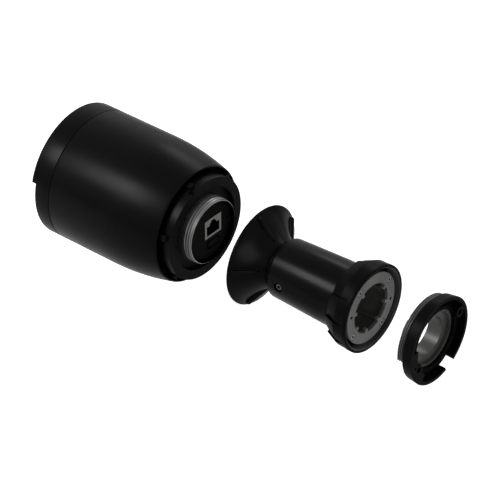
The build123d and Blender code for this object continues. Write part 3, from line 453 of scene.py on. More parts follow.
def arc(start: Point, end: Point, sagitta: float, steps: int) -> list[Corner]:
    """Points of a shallow arc between two places of a section, without its ends.

    Args:
        start: the first end.
        end: the last end.
        sagitta: how far the arc bows away from the axis.
        steps: straight pieces in the arc.

    Returns:
        The corners between the ends, with no rounding.
    """
    chord = Vector(end) - Vector(start)
    bow = abs(sagitta)
    radius = (chord.length**2 / 4.0 + bow**2) / (2.0 * bow)
    normal = Vector((-chord.y, chord.x)).normalized()
    if (normal.y < 0.0) != (sagitta < 0.0):
        normal = -normal
    middle = (Vector(start) + Vector(end)) / 2.0 - normal * (radius - bow)
    first = Vector(start) - middle
    last = Vector(end) - middle
    sweep = math.atan2(first.x * last.y - first.y * last.x, first.dot(last))
    found = []
    for step in range(1, steps):
        place = middle + Matrix.Rotation(sweep * step / steps, 2) @ first
        found.append((place.x, place.y, 0.0))
    return found


def smooth(piece: Piece) -> None:
    """Shades a piece smooth, apart from its sharp edges."""
    piece.data.shade_smooth()
    piece.data.set_sharp_from_angle(angle=math.radians(SHARP))


def settle(piece: Piece) -> None:
    """Applies a piece's modifiers to its mesh.

    Args:
        piece: the mesh object.
    """
    bpy.context.view_layer.update()
    solved = piece.evaluated_get(bpy.context.evaluated_depsgraph_get())
    mesh = bpy.data.meshes.new_from_object(solved)
    piece.modifiers.clear()
    mesh.name = piece.name
    piece.data = mesh


def piece_from(name: str, grid: bmesh.types.BMesh) -> Piece:
    """Makes a clean object of a bmesh.

    Args:
        name: the piece's name.
        grid: the mesh, in metres.

    Returns:
        The new object.
    """
    bmesh.ops.remove_doubles(grid, verts=grid.verts, dist=2e-6)
    bmesh.ops.dissolve_degenerate(grid, edges=grid.edges, dist=1e-6)
    bmesh.ops.recalc_face_normals(grid, faces=grid.faces)
    mesh = bpy.data.meshes.new(name)
    grid.to_mesh(mesh)
    grid.free()
    return add_object(name, mesh)


def turned(name: str, angles: Sequence[float], section_at: SectionAt) -> Piece:
    """Sweeps a closed section round the axis; it may change with the angle.

    Args:
        name: the piece's name.
        angles: the angles of the sections.
        section_at: gives the section at an angle, always with the same number of points.

    Returns:
        The new object.
    """
    grid = bmesh.new()
    rings = []
    for angle in angles:
        cos_a = math.cos(math.radians(angle))
        sin_a = math.sin(math.radians(angle))
        section = section_at(angle)
        rings.append([grid.verts.new((x * MM, r * cos_a * MM, r * sin_a * MM)) for x, r in section])
    for here, there in zip(rings, rings[1:] + rings[:1]):
        for index in range(len(here)):
            after = (index + 1) % len(here)
            grid.faces.new((here[index], here[after], there[after], there[index]))
    made = piece_from(name, grid)
    smooth(made)
    return made


def bar(name: str, outline: Sequence[Vector], along: Vector) -> Piece:
    """A straight prism.

    Args:
        name: the piece's name.
        outline: the corners of one end.
        along: the way to the other end.

    Returns:
        The new object.
    """
    grid = bmesh.new()
    low = [grid.verts.new(Vector(corner) * MM) for corner in outline]
    high = [grid.verts.new((Vector(corner) + along) * MM) for corner in outline]
    grid.faces.new(low)
    grid.faces.new(high)
    for index in range(len(low)):
        after = (index + 1) % len(low)
        grid.faces.new((low[index], low[after], high[after], high[index]))
    return piece_from(name, grid)


def rod(name: str, start: Vector, end: Vector, r: float, sides: int = 32) -> Piece:
    """A round bar between two points, used as a cutter.

    Args:
        name: the piece's name.
        start: one end.
        end: the other end.
        r: its radius.
        sides: how many sides it has.

    Returns:
        The new object.
    """
    along = end - start
    across = along.orthogonal().normalized()
    upright = along.cross(across).normalized()
    turns = [math.radians(angle) for angle in full_turn(sides)]
    outline = [
        start + across * (r * math.cos(turn)) + upright * (r * math.sin(turn)) for turn in turns
    ]
    return bar(name, outline, along)


def combine(piece: Piece, others: list[Piece], operation: str) -> None:
    """Adds other closed pieces to a piece, or cuts them from it, and removes them.

    Args:
        piece: the piece that stays.
        others: the pieces that are used up.
        operation: the boolean operation's name.
    """
    for other in others:
        step = piece.modifiers.new(other.name, "BOOLEAN")
        step.operation = operation
        step.solver = "EXACT"
        step.object = other
    settle(piece)
    for other in others:
        bpy.data.objects.remove(other)
    smooth(piece)


def flat_regions(grid: bmesh.types.BMesh) -> list[list[bmesh.types.BMFace]]:
    """Groups the faces of each large flat side, always in the same order.

    Args:
        grid: the mesh.

    Returns:
        The groups.
    """
    grid.faces.index_update()
    seen: set[int] = set()
    regions = []
    for first in grid.faces:
        if len(first.verts) <= FEW_SIDES or first.index in seen:
            continue
        seen.add(first.index)
        region = [first]
        for face in region:
            for edge in face.edges:
                for other in edge.link_faces:
                    if other.index not in seen and other.normal.dot(first.normal) > SAME_WAY:
                        seen.add(other.index)
                        region.append(other)
        regions.append(region)
    return regions


def refill(piece: Piece) -> None:
    """Fills a piece's large flat sides anew from their outlines, so that none folds over itself.

    Args:
        piece: the mesh object.
    """
    grid = bmesh.new()
    grid.from_mesh(piece.data)
    for region in flat_regions(grid):
        inside = {face.index for face in region}
        outline = [
            edge
            for face in region
            for edge in face.edges
            if any(other.index not in inside for other in edge.link_faces)
        ]
        normal = region[0].normal.copy()
        bmesh.ops.delete(grid, geom=region, context="FACES")
        bmesh.ops.triangle_fill(grid, use_beauty=True, edges=outline, normal=normal)
    bmesh.ops.recalc_face_normals(grid, faces=grid.faces)
    grid.to_mesh(piece.data)
    grid.free()


def soften(piece: Piece, width: float, segments: int = 2) -> None:
    """Rounds a piece's edges slightly.

    Args:
        piece: the mesh object.
        width: the rounding's width.
        segments: faces across the rounding.
    """
    edge = piece.modifiers.new("edges", "BEVEL")
    edge.width = width * MM
    edge.segments = segments
    edge.limit_method = "ANGLE"
    edge.angle_limit = math.radians(ROUNDED)
    edge.loop_slide = False
    settle(piece)
    refill(piece)
    smooth(piece)
    flat = piece.modifiers.new("flats", "WEIGHTED_NORMAL")
    flat.keep_sharp = True
    settle(piece)


def draw_in(
    piece: Piece, node: str, share: Corner, shift: Corner = (0.0, 0.0, 0.0)
) -> None:
    """Draws a piece in towards its node's middle, so that a gap shows round it.

    Args:
        piece: the mesh object.
        node: the CAD node whose middle counts.
        share: the share of each direction's size that stays.
        shift: how far the piece then moves.
    """
    low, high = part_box(node)
    middle = (low + high) / 2.0
    for vertex in piece.data.vertices:
        vertex.co = middle + (vertex.co - middle) * Vector(share) + Vector(shift) * MM


def line_faces(piece: Piece, chosen: FaceTest, finish: Finish = PAINTED_SHADE_BLACK) -> None:
    """Gives some of a piece's faces another finish, by default the near-black painted shade.

    Args:
        piece: the dressed mesh object.
        chosen: says whether a face takes it.
        finish: the other finish; by default the near-black that paints shade into hollows.
    """
    piece.data.materials.append(finish.material())
    second = len(piece.data.materials) - 1
    for face in piece.data.polygons:
        if chosen(face):
            face.material_index = second


def faces_axis(face: Face) -> bool:
    """Says whether a face looks toward the tube's axis, as the wall of a bore does."""
    outward = Vector((0.0, face.center.y, face.center.z)).normalized()
    return face.normal.dot(outward) < -SLANT


def faces_round(face: Face) -> bool:
    """Says whether a face looks round the tube's axis, as the steep side of a grip does."""
    around = Vector((0.0, -face.center.z, face.center.y)).normalized()
    return abs(face.normal.dot(around)) > STEEP


def is_wall(face: Face) -> bool:
    """Says whether a face runs along the tube's axis, as the side of a pad does."""
    return abs(face.normal.x) < SLANT


def on_circle(x: float, r: float, angle: float) -> Vector:
    """Gives the point at x, r away from the axis and at an angle round it."""
    return Vector((x, r * math.cos(math.radians(angle)), r * math.sin(math.radians(angle))))


@dataclass
class Assembly:
    """What the sub-assemblies share: their body and how pieces are dressed."""

    body: str = "base"

    def place(self, piece: Piece, finish: Finish, slot: str, node: str) -> Piece:
        """Dresses a new piece, lets it ride on the body and hides the node it stands for.

        Args:
            piece: the new mesh object.
            finish: its surface finish.
            slot: the name of its material slot; not used.
            node: the CAD node that it replaces.

        Returns:
            The piece.
        """
        piece.data.materials.clear()
        piece.data.materials.append(finish.material())
        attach(piece, self.body)
        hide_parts(node)
        log.info("built %s with %d faces", piece.name, len(piece.data.polygons))
        return piece

    def softened(
        self, node: str, name: str, finish: Finish, slot: str, width: float, segments: int = 2
    ) -> Piece:
        """Puts a copy with rounded edges in a CAD node's place.

        Args:
            node: the CAD node's name.
            name: the new piece's name.
            finish: its surface finish.
            slot: the name of its material slot; not used.
            width: the rounding's width.
            segments: faces across the rounding.

        Returns:
            The new piece.
        """
        grid = bmesh.new()
        grid.from_mesh(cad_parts[node].data)
        bmesh.ops.remove_doubles(grid, verts=grid.verts, dist=1e-6)
        flat = math.radians(0.4)
        bmesh.ops.dissolve_limit(grid, angle_limit=flat, verts=grid.verts, edges=grid.edges)
        made = piece_from(name, grid)
        soften(made, width, segments)
        return self.place(made, finish, slot, node)

    def dress(self, finish: Finish, *nodes: str) -> None:
        """Gives CAD nodes that stay their finish.

        Args:
            finish: the surface finish.
            nodes: the CAD nodes' names.
        """
        for node in nodes:
            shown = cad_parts[node]
            if not shown.material_slots:
                shown.data.materials.append(None)
            for slot in shown.material_slots:
                slot.material = finish.material()
            smooth(shown)
            log.info("dressed %s", node)


@dataclass
class Housing(Assembly):
    """The camera's long shell and the hood ring with its visor."""

    body: str = "camera"
    steps: int = 288
    rear_drop: float = 5.4
    bows: Point = (0.25, 0.2)
    taper: float = 41.3
    wall: float = 2.4
    lip_wall: float = 1.4
    lip_rounding: float = 0.65
    edge: float = 0.35
    visor_reach: float = 3.2
    visor_start: float = 15.0
    visor_wall: float = 3.8
    window_r: float = 38.4
    glass_seat_r: float = 40.15
    glass_recess: float = 2.5
    tongue: float = 4.0
    tongue_play: float = 0.15
    seam: float = 0.25
    visor_step: float = 0.12

    def build(self) -> None:
        """Makes the shell and the hood."""
        self._build_shell()
        self._build_hood()

    def _build_shell(self) -> None:
        """The long shell: straight at the front, drawn in by a shallow arc at the rear."""
        span = Span.of("outer_shell")
        rear_r = span.reach - self.rear_drop
        turn = span.back - self.taper
        inner_r = span.reach - self.wall
        outer_bow, inner_bow = (self.rear_drop * share for share in self.bows)
        corners = [
            (span.front, inner_r, self.edge),
            (span.front, span.reach, self.edge),
            (turn, span.reach, 0.0),
            *arc((turn, span.reach), (span.back, rear_r), outer_bow, 20),
            (span.back, rear_r, self.lip_rounding),
            (span.back, rear_r - self.lip_wall, self.lip_rounding),
            *arc((span.back, rear_r - self.lip_wall), (turn, inner_r), inner_bow, 20),
            (turn, inner_r, 0.0),
        ]
        section = rounded(corners)
        shell = turned("housing_shell", full_turn(self.steps), lambda angle: section)
        self.place(shell, BODY_COAT, "satin_black_cast", "outer_shell")
        # The shell's inside faces take the near-black without sheen: painted shade in the gap
        # behind the lip.
        line_faces(shell, faces_axis)

    def _build_hood(self) -> None:
        """The hood ring, whose upper part stands further forward as a visor."""
        span = Span.of("front_hood")
        shell = Span.of("outer_shell")
        face = span.front + self.visor_reach
        seam = span.back - self.tongue - self.seam
        tongue_r = shell.reach - self.wall - self.tongue_play
        visor_r = span.reach - self.visor_wall
        glass_x = face + self.glass_recess

        def section_with(front: float, inner_rounding: float) -> Section:
            """Gives the hood's section with its front edge at that place."""
            return rounded(
                [
                    (seam, span.reach, self.edge),
                    (front, span.reach, 0.8),
                    (front, visor_r, inner_rounding),
                    (face, visor_r - 0.05, 0.0),
                    (face, self.window_r, 0.3),
                    (glass_x, self.window_r, 0.0),
                    (glass_x, self.glass_seat_r, 0.0),
                    (span.back, self.glass_seat_r, 0.0),
                    (span.back, tongue_r, 0.2),
                    (seam, tongue_r, 0.0),
                ]
            )

        visor = section_with(span.front, 0.5)
        plain = section_with(face - 0.01, 0.003)
        start = self.visor_start
        end = AROUND / 2.0 - start
        ends = {place + side * self.visor_step for place in (start, end) for side in (-1.0, 1.0)}
        angles = sorted({*full_turn(self.steps), *ends})
        hood = turned("visor_hood", angles, lambda angle: visor if start < angle < end else plain)
        self.place(hood, BODY_COAT, "satin_black_cast", "front_hood")


@dataclass
class RearPort(Assembly):
    """The camera's rear cover, its threaded ring and the face with the network socket."""

    body: str = "camera"
    steps: int = 256
    ring_r: float = 21.8
    ring_wall: float = 1.5
    ring_base_r: float = 24.5
    ring_base: float = 2.0
    shield_edge: float = 0.16
    thread: Thread = Thread(1.9, -0.20, 0.20, 0.5, 44)
    thread_length: float = 5.2
    rim: float = 0.55
    bore_edge: float = 0.2
    crest_edge: Point = (0.35, 0.4)

    def build(self) -> None:
        """Makes the cover, the ring and the face, and dresses what they hold."""
        cast = "satin_black_cast"
        cover = self.softened("rear_cover", "rear_cover_shell", REAR_BLACK, cast, 0.35, 3)
        line_faces(cover, self._is_side, BODY_COAT)
        self._build_ring()
        face = self.softened("port_plate", "port_face", FACE_BLACK, "matte_black_moulding", 0.22, 3)
        # The walls of the face's pockets and holes take the near-black: painted shade.
        line_faces(face, is_wall)
        shield = self.softened("port_shield", "socket_shield", NICKEL_SHEET, "nickel_shield", 0.12)
        # The shield's faces behind its front edge take the near-black: painted shade inside the
        # socket.
        behind = Span.of("port_shield").back - self.shield_edge
        line_faces(shield, lambda side: side.center.x / MM < behind)
        # The socket's insert is black plastic, given the near-black without sheen: its own colour
        # with painted shade.
        self.softened("port_insert", "socket_insert", PAINTED_SHADE_BLACK, "chip_black", 0.08)
        # The contacts take gold darkened by painted shade.
        self.dress(GOLD_CONTACT_SHADED, "port_contacts")
        self.dress(STATUS_RESIN, "status_light")
        self.dress(BOARD_GREEN, "port_board")
        self.dress(CHIP_BLACK, "reset_switch")
        self.dress(SOFT_RUBBER, "cover_gasket")
        self.dress(BRIGHT_STEEL, "cover_screws")

    def _is_side(self, face: Face) -> bool:
        """Says whether a face of the cover looks outwards."""
        return abs(face.normal.x) < STEEP and not faces_axis(face)

    def _build_ring(self) -> None:
        """The silver ring with its helical thread."""
        span = Span.of("mount_ring")
        bore_r = self.ring_r - self.ring_wall
        base_front = span.front + self.ring_base
        start = span.back - self.thread_length

        def section_at(angle: float) -> Section:
            """Gives the section at an angle."""
            crest = self.thread.outline(angle, self.ring_r, start, span.back)
            crest[-1] = (span.back - self.crest_edge[0], self.ring_r - self.crest_edge[1])
            return [
                (span.front, bore_r),
                (span.front, self.ring_base_r),
                (base_front, self.ring_base_r),
                (base_front, self.ring_r),
                *crest,
                (span.back, bore_r + self.rim),
                (span.back, bore_r + self.bore_edge),
                (span.back - self.bore_edge, bore_r),
            ]

        ring = turned("threaded_ring", full_turn(self.steps), section_at)
        self.place(ring, SILVER_THREAD, "silver_ring", "mount_ring")
        # The ring's bore and its end face take the near-black: painted shade, so that the silver
        # shows only outside.
        line_faces(ring, lambda side: faces_axis(side) or side.normal.x > FACES_OUT)


@dataclass
class ResetPad(Assembly):
    """The soft pad below the socket, a little narrower than its hole."""

    body: str = "reset"
    share: Corner = (1.0, 0.90, 0.80)
    shift: Corner = (0.0, 0.22, 0.12)

    def build(self) -> None:
        """Makes the pad."""
        pad = self.softened("reset_button", "reset_pad", FACE_BLACK, "black_rubber", 0.3, 3)
        draw_in(pad, "reset_button", self.share, self.shift)
        # The pad's sides take the near-black: painted shade in the gap round it.
        line_faces(pad, is_wall)


@dataclass
class Optics(Assembly):
    """What the camera holds behind its window."""

    body: str = "camera"

    def build(self) -> None:
        """Gives each node its finish."""
        self.dress(DARK_WINDOW, "front_glass")
        self.dress(SOFT_RUBBER, "glass_gasket", "light_baffle")
        self.dress(BOARD_BLACK, "led_board")
        self.dress(LAMP_RESIN, "infrared_leds")
        self.dress(MOULDED_BLACK, "lens_barrel")
        self.dress(LENS_GLASS, "lens_front_element", "lens_rear_element")
        self.dress(CHIP_BLACK, "lens_mount", "image_sensor", "processor")
        self.dress(BOARD_GREEN, "sensor_board", "main_board")
        self.dress(BRIGHT_STEEL, "sensor_standoffs", "board_standoffs", "board_screws")
        self.dress(CHASSIS_METAL, "inner_chassis")


@dataclass
class SwivelBell(Assembly):
    """The flared cup with its grip fins, and what it holds."""

    body: str = "bell"
    steps: int = 240
    neck_r: float = 14.95
    rim_rounding: float = 0.45
    rim_edge: float = 1.0
    rim_wall: float = 2.1
    flare_bow: float = -1.55
    throat_r: float = 12.8
    shoulder: float = 6.9
    pocket_r: float = 16.9
    floor: float = 10.5
    socket_r: float = 22.15
    socket_wall: float = 2.45
    socket_front: float = 0.3
    cup_depth: float = 3.1
    fins: int = 5
    fin_angle: float = 25.0
    fin_width: float = 1.7
    fin_edge: float = 0.3
    fin_outer: Point = (12.5, 31.4)
    fin_inner: Point = (3.2, 17.8)
    fin_root: float = 2.0
    fin_foot: Point = (1.6, 2.6)

    def build(self) -> None:
        """Makes the cup with its fins and dresses its seal."""
        span = Span.of("bell_cup")
        front, back, rim = span.front, span.back, span.reach
        floor = back - self.floor
        shoulder = back - self.shoulder
        socket_outer = self.socket_r + self.socket_wall
        corners = [
            (back, self.throat_r, 0.3),
            (back, self.neck_r, 0.4),
            *arc((back, self.neck_r), (front + self.rim_edge, rim), self.flare_bow, 22),
            (front + self.rim_edge, rim, 0.3),
            (front, rim, self.rim_rounding),
            (front, rim - self.rim_wall, 0.3),
            (front + self.cup_depth, socket_outer, 0.4),
            (front + self.socket_front, socket_outer, 0.25),
            (front + self.socket_front, self.socket_r, 0.25),
            (floor, self.socket_r, 0.0),
            (floor, self.pocket_r, 0.2),
            (shoulder, self.pocket_r, 0.0),
            (shoulder, self.throat_r, 0.2),
        ]
        section = rounded(corners)
        cup = turned("bell_cup_flare", full_turn(self.steps), lambda angle: section)
        combine(cup, [self._fin(span, index) for index in range(self.fins)], "UNION")
        self.place(cup, ARM_COAT, "satin_black_cast", "bell_cup")
        self.dress(SOFT_RUBBER, "bell_gasket")

    def _fin(self, span: Span, index: int) -> Piece:
        """Makes one grip fin, rounded along its top.

        Args:
            span: where the cup lies.
            index: which fin.

        Returns:
            The fin.
        """
        angle = self.fin_angle + AROUND * index / self.fins
        side = on_circle(0.0, 1.0, angle + 90.0)
        outer, outer_r = self.fin_outer
        inner, inner_r = self.fin_inner
        foot, foot_height = self.fin_foot
        outline = [
            on_circle(span.back - outer, outer_r, angle),
            on_circle(span.back - inner, inner_r, angle),
            on_circle(span.back - inner - self.fin_root, self.neck_r, angle),
            on_circle(span.front + foot, outer_r - foot_height, angle),
            on_circle(span.front + foot, outer_r, angle),
        ]
        half = side * (self.fin_width / 2.0)
        fin = bar(f"fin_{index}", [corner - half for corner in outline], side * self.fin_width)
        soften(fin, self.fin_edge)
        return fin


@dataclass
class ArmTube(Assembly):
    """The arm's tube, its end plate and its screws."""

    body: str = "arm"
    steps: int = 240
    mouth_r: float = 16.6
    lip_r: float = 18.2
    lip_run: float = 1.3
    lip_bow: float = 0.25
    front_r: float = 19.3
    rear_r: float = 20.8
    taper_end: float = 22.6
    bore_r: float = 17.4
    rib_zone_r: float = 18.4
    rib_zone: float = 33.1
    ribs: int = 6
    rib_angle: float = 3.0
    rib_width: float = 3.4
    rib_ramp: float = 0.7
    flange_width: float = 6.1
    mouth_to_ball: float = 4.2
    seat_r: float = 17.12
    seat_steps: int = 8
    screw_from_mouth: float = 9.2
    screw_skin: float = 0.35
    screw_recess_r: float = 3.1
    screw_recess: float = 0.9
    screw_r: float = 2.45
    screw_edge: float = 0.2
    screw_share: Corner = (0.84, 1.0, 0.84)
    head_edge: float = 0.03
    holes_from_r: float = 17.6
    holes_to_r: float = 22.9

    def build(self) -> None:
        """Makes the tube, the end plate and the screws, and dresses what the tube holds."""
        self._build_tube()
        plate = self.softened(
            "end_plate", "serrated_end_plate", PLATE_GREY, "light_grey_plate", 0.15
        )
        # The walls of the plate's small holes take the near-black: painted shade.
        line_faces(plate, self._in_screw_hole)
        screws = self.softened("plate_screws", "end_plate_screws", SCREW_GREY, "bright_steel", 0.18)
        # All but the tops of the heads take the near-black: painted shade in the holes.
        head = Span.of("plate_screws").back
        line_faces(screws, lambda face: face.center.x / MM < head - self.head_edge)
        grub = self.softened("set_screw", "locking_screw", DARK_STEEL, "dark_screw_steel", 0.12)
        draw_in(grub, "set_screw", self.screw_share)
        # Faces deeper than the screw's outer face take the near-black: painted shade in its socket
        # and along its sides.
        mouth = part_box("set_screw")[0].y / MM
        line_faces(grub, lambda face: face.center.y / MM > mouth + self.screw_edge)
        self.dress(BRIGHT_STEEL, "seat_spring")
        self.dress(INSERT_GREY, "seat_nut")

    def _rib_lift(self, angle: float) -> float:
        """How far a rib fills the wider zone of the bore at an angle.

        Args:
            angle: the angle round the axis.

        Returns:
            1 on a rib, 0 between two, with short ramps.
        """
        pitch = AROUND / self.ribs
        away = abs((angle - self.rib_angle + pitch / 2.0) % pitch - pitch / 2.0)
        half = math.degrees(self.rib_width / 2.0 / self.bore_r)
        return min(1.0, max(0.0, (half - away) / self.rib_ramp + 0.5))

    def _build_tube(self) -> None:
        """The turned tube, with long ribs in its bore and the screw hole at its side."""
        span = Span.of("arm_tube")
        front, back = span.front, span.back
        zone = back - self.rib_zone
        ball_x = front + self.mouth_to_ball
        depths = [self.mouth_to_ball * step / self.seat_steps for step in range(1, self.seat_steps)]
        sphere = [(ball_x - deep, math.sqrt(self.seat_r**2 - deep**2), 0.0) for deep in depths]

        def section_at(angle: float) -> Section:
            """Gives the section at an angle."""
            fill = (self.rib_zone_r - self.bore_r - 0.01) * self._rib_lift(angle)
            zone_r = self.rib_zone_r - fill
            corners = [
                (front, self.mouth_r, 0.15),
                (front, self.lip_r, 0.0),
                *arc((front, self.lip_r), (front + self.lip_run, self.front_r), self.lip_bow, 8),
                (front + self.lip_run, self.front_r, 0.0),
                (back - self.taper_end, self.rear_r, 0.0),
                (back - self.flange_width, self.rear_r, 0.3),
                (back - self.flange_width, span.reach, 0.3),
                (back, span.reach, 0.3),
                (back, zone_r, 0.1),
                (zone, zone_r, 0.0),
                (zone, self.bore_r, 0.0),
                (ball_x, self.bore_r, 0.0),
                (ball_x, self.seat_r, 0.0),
                *sphere,
            ]
            return rounded(corners, 3)

        tube = turned("arm_tube_barrel", full_turn(self.steps), section_at)
        x = front + self.screw_from_mouth
        skin = self.front_r + self.screw_skin
        bottom = Vector((x, self.screw_recess - skin, 0.0))
        recess = rod("recess", bottom, Vector((x, -(skin + 2.0), 0.0)), self.screw_recess_r, 40)
        bottom = Vector((x, -(self.bore_r - 2.0), 0.0))
        hole = rod("hole", bottom, Vector((x, -(skin + 1.0), 0.0)), self.screw_r)
        combine(tube, [recess, hole], "DIFFERENCE")
        self.place(tube, ARM_COAT, "satin_black_cast", "arm_tube")
        line_faces(tube, lambda face: faces_axis(face) and face.center.x / MM > zone, BORE_GREY)

        def in_recess(face: Face) -> bool:
            """Says whether a face is a wall of the screw's recess or hole."""
            away = math.hypot(face.center.x / MM - x, face.center.z / MM)
            return face.center.y < 0.0 and away < self.screw_recess_r

        # The screw's recess and hole, and faces that look toward the wall, take the near-black:
        # painted shade.
        line_faces(tube, lambda face: in_recess(face) or face.normal.x > FACES_OUT)

    def _in_screw_hole(self, face: Face) -> bool:
        """Says whether a face of the end plate is a wall of one of its small holes."""
        r = math.hypot(face.center.y, face.center.z) / MM
        return face.normal.x < 0.95 and self.holes_from_r < r < self.holes_to_r


@dataclass
class SwivelBall(Assembly):
    """The ball in the tube's mouth with its seat."""

    body: str = "swivel"

    def build(self) -> None:
        """Gives each node its finish."""
        self.dress(SWIVEL_GREY, "swivel_ball")
        self.dress(DARK_STEEL, "stem_flange")
        self.dress(NYLON, "seat_ring")


@dataclass
class Collar(Assembly):
    """The ring with saw-toothed grips that screws onto the wall base."""

    body: str = "collar"
    cone_r: float = 27.4
    band_r: float = 28.3
    rear_r: float = 23.4
    cone_length: float = 8.0
    band: float = 3.4
    band_ramp: float = 0.3
    grips: int = 11
    grip_angle: float = 76.0
    grip_rise: float = 1.8
    grip_share: float = 0.62
    grip_end_share: float = 0.04
    grip_power: float = 0.8
    grip_steps: int = 22
    step_angle: float = 0.4
    bore_r: float = 21.1
    thread_r: float = 26.1
    inner_face: float = 6.2
    mouth: float = 0.9
    thread: Thread = Thread(1.4, 0.6, 0.42, 0.4, 60)
    thread_length: float = 6.6

    def _angles(self) -> list[float]:
        """Works out the sections' angles, closer together at each grip's step.

        Returns:
            The angles.
        """
        pitch = AROUND / self.grips
        run = (pitch - self.step_angle * 2.0) / (self.grip_steps - 1)
        offsets = [0.0, *(self.step_angle + step * run for step in range(self.grip_steps))]
        starts = [self.grip_angle + grip * pitch for grip in range(self.grips)]
        return sorted((start + offset) % AROUND for start in starts for offset in offsets)

    def _lift(self, angle: float) -> float:
        """Says how high the saw tooth stands: 0 just before a step, 1 just past it.

        Args:
            angle: the angle round the axis.

        Returns:
            The share of the full rise.
        """
        pitch = AROUND / self.grips
        phase = ((angle - self.grip_angle) % pitch) / pitch
        if phase < 1e-6:
            return 0.0
        return max(0.0, 1.0 - phase) ** self.grip_power

    def build(self) -> None:
        """Makes the ring."""
        span = Span.of("collar_ring")
        rear, front = span.front, span.back
        cone_end = rear + self.cone_length
        band_start = front - self.band
        seat = rear + self.inner_face
        mouth = front - self.mouth

        def section_at(angle: float) -> Section:
            """Gives the section at an angle."""
            rise = self.grip_rise * self._lift(angle)
            outer = rounded(
                [
                    (rear, self.rear_r + rise, 0.5),
                    (cone_end, self.cone_r + self.grip_share * rise, 1.2),
                    (band_start, self.band_r + self.grip_end_share * rise, 0.0),
                    (band_start + self.band_ramp, span.reach, 0.3),
                    (front, span.reach, 0.6),
                    (front, self.thread_r + self.mouth, 0.3),
                    (mouth, self.thread_r, 0.0),
                    (seat, self.thread_r, 0.3),
                    (seat, self.bore_r, 0.2),
                    (rear, self.bore_r, 0.3),
                ],
                4,
            )
            wall = self.thread.outline(angle, self.thread_r, mouth, mouth - self.thread_length)
            place = outer.index((mouth, self.thread_r))
            return outer[:place] + wall[:-1] + outer[place + 1 :]

        ring = turned("collar_grip_ring", self._angles(), section_at)
        self.place(ring, MOULDED_BLACK, "matte_black_moulding", "collar_ring")
        line_faces(ring, faces_axis, THREAD_GREY)
        # The grips' steep step faces take the near-black: painted shade at each step.
        line_faces(ring, faces_round)


@dataclass
class WallBase(Assembly):
    """The moulded base ring and its cast insert."""

    body: str = "base"
    rim_depth: float = 0.5
    pocket_r: float = 26.6

    def build(self) -> None:
        """Makes the ring and the insert with rounded edges."""
        cast = "satin_black_cast"
        ring = self.softened("base_ring", "wall_base_ring", MOULDED_BLACK, cast, 0.35, 3)
        behind = Span.of("base_ring").back - self.rim_depth

        def in_pocket(face: Face) -> bool:
            """Says whether a face lies in the ring's pocket."""
            r = math.hypot(face.center.y, face.center.z) / MM
            return face.center.x / MM < behind and r < self.pocket_r and face.normal.x > -0.5

        # The pocket's faces take the darker black: painted shade inside the ring.
        line_faces(ring, in_pocket, POCKET_PAINTED_SHADE)
        self.softened("base_insert", "wall_base_insert", INSERT_GREY, "grey_cast_insert", 0.15)


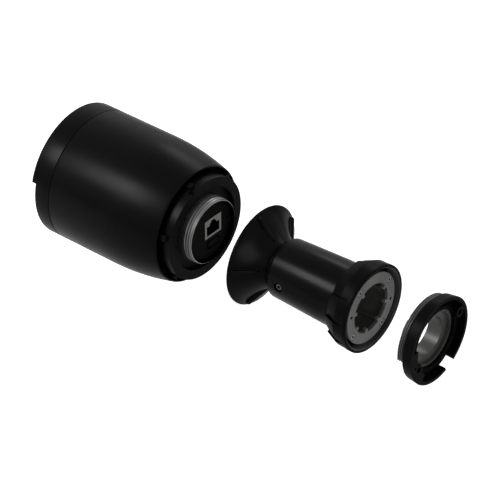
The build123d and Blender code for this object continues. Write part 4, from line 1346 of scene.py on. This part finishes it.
@dataclass
class Studio:
    """Floor, backdrop light, lamps and the camera at the photograph's angle."""

    target_mm: Corner = (-141.0, -2.2, 1.9)
    azimuth: float = 39.16
    elevation: float = 36.26
    distance_mm: float = 1609.0
    lens: float = 189.8
    floor_drop_mm: float = 60.0
    floor_half: float = 4.0
    world_strength: float = 0.3
    floor_lift: float = 0.62

    def build(self) -> None:
        """Makes everything round the object."""
        self._build_world()
        self._build_floor()
        self._build_lamps()
        self._build_camera()

    def _build_world(self) -> None:
        """A plain pale world that shows as white behind the object."""
        world = bpy.data.worlds.new("studio_world")
        bpy.context.scene.world = world
        world.use_nodes = True
        nodes = Nodes(world.node_tree)
        nodes.tree.nodes.clear()
        paths = nodes.add("LightPath", {}).outputs
        direct = {0: paths["Is Camera Ray"], 1: paths["Is Glossy Ray"]}
        seen = nodes.add("Math", direct, "MAXIMUM").outputs[0]
        through = {0: seen, 1: paths["Is Transmission Ray"]}
        seen = nodes.add("Math", through, "MAXIMUM").outputs[0]
        soft = nodes.add("Background", {"Strength": self.world_strength}).outputs[0]
        white = nodes.add("Background", {"Color": WHITE, "Strength": 1.0}).outputs[0]
        mix = nodes.add("MixShader", {"Fac": seen, 1: soft, 2: white}).outputs[0]
        nodes.add("OutputWorld", {"Surface": mix})

    def _build_floor(self) -> None:
        """A pale floor that keeps the object's soft shadow and is white to the camera."""
        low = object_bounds()[0][2] - self.floor_drop_mm * MM
        mesh = bpy.data.meshes.new("floor")
        signs = ((-1.0, -1.0), (1.0, -1.0), (1.0, 1.0), (-1.0, 1.0))
        corners = [(x * self.floor_half, y * self.floor_half, low) for x, y in signs]
        mesh.from_pydata(corners, [], [(0, 1, 2, 3)])
        floor = add_object("floor", mesh)
        paint = bpy.data.materials.new("pale_floor")
        paint.use_nodes = True
        nodes = Nodes(paint.node_tree)
        seen = nodes.add("LightPath", {}).outputs["Is Camera Ray"]
        glow = nodes.add("Math", {0: seen, 1: self.floor_lift}, "MULTIPLY").outputs[0]
        look: Inputs = {
            "Base Color": (0.8, 0.8, 0.8, 1.0),
            "Roughness": 0.9,
            "Specular IOR Level": 0.0,
            "Emission Color": WHITE,
            "Emission Strength": glow,
        }
        nodes.feed(nodes.tree.nodes["Principled BSDF"], look)
        mesh.materials.append(paint)
        floor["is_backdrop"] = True

    def _build_lamps(self) -> None:
        """Soft boxes: a key beside the tube, a low back light and a fill at the wall's side."""
        self._lamp("key", (-620.0, -563.0, 596.0), (-620.0, 0.0, 0.0), (460.0, 300.0), 9.5)
        self._lamp("back", (-200.0, 620.0, 500.0), (-200.0, 0.0, 0.0), (800.0, 200.0), 3.0)
        self._lamp("fill", (800.0, -300.0, 120.0), (0.0, 0.0, 0.0), (500.0, 500.0), 3.0)

    def _lamp(self, name: str, place: Corner, aim: Corner, size: Point, power: float) -> None:
        """One rectangular lamp.

        Args:
            name: the lamp's name.
            place: where it stands.
            aim: the point that it faces.
            size: its two sides.
            power: its power, in watts.
        """
        light = bpy.data.lights.new(name, "AREA")
        light.shape = "RECTANGLE"
        light.size = size[0] * MM
        light.size_y = size[1] * MM
        light.energy = power
        lamp = add_object(name, light)
        lamp.location = Vector(place) * MM
        lamp.rotation_euler = (Vector(aim) - Vector(place)).to_track_quat("-Z", "Y").to_euler()

    def _build_camera(self) -> None:
        """The camera, which looks at the object as the photograph does."""
        azimuth = math.radians(self.azimuth)
        elevation = math.radians(self.elevation)
        level = math.cos(elevation)
        back = Vector((math.sin(azimuth) * level, -math.cos(azimuth) * level, math.sin(elevation)))
        view = bpy.data.cameras.new("camera")
        view.lens = self.lens
        view.sensor_width = 36.0
        view.clip_start = 0.01
        eye = add_object("camera", view)
        eye.location = Vector(self.target_mm) * MM + back * (self.distance_mm * MM)
        eye.rotation_euler = (-back).to_track_quat("-Z", "Y").to_euler()
        bpy.context.scene.camera = eye
        bpy.context.scene.view_settings.view_transform = "Standard"


def main() -> None:
    """Builds every sub-assembly and the studio round it."""
    logging.basicConfig(level=logging.INFO, format="%(message)s")
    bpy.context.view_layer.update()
    camera = (Housing(), RearPort(), ResetPad(), Optics())
    arm = (SwivelBell(), ArmTube(), SwivelBall(), Collar())
    for group in (Studio(), *camera, *arm, WallBase()):
        group.build()


if __name__ == "__main__":
    main()
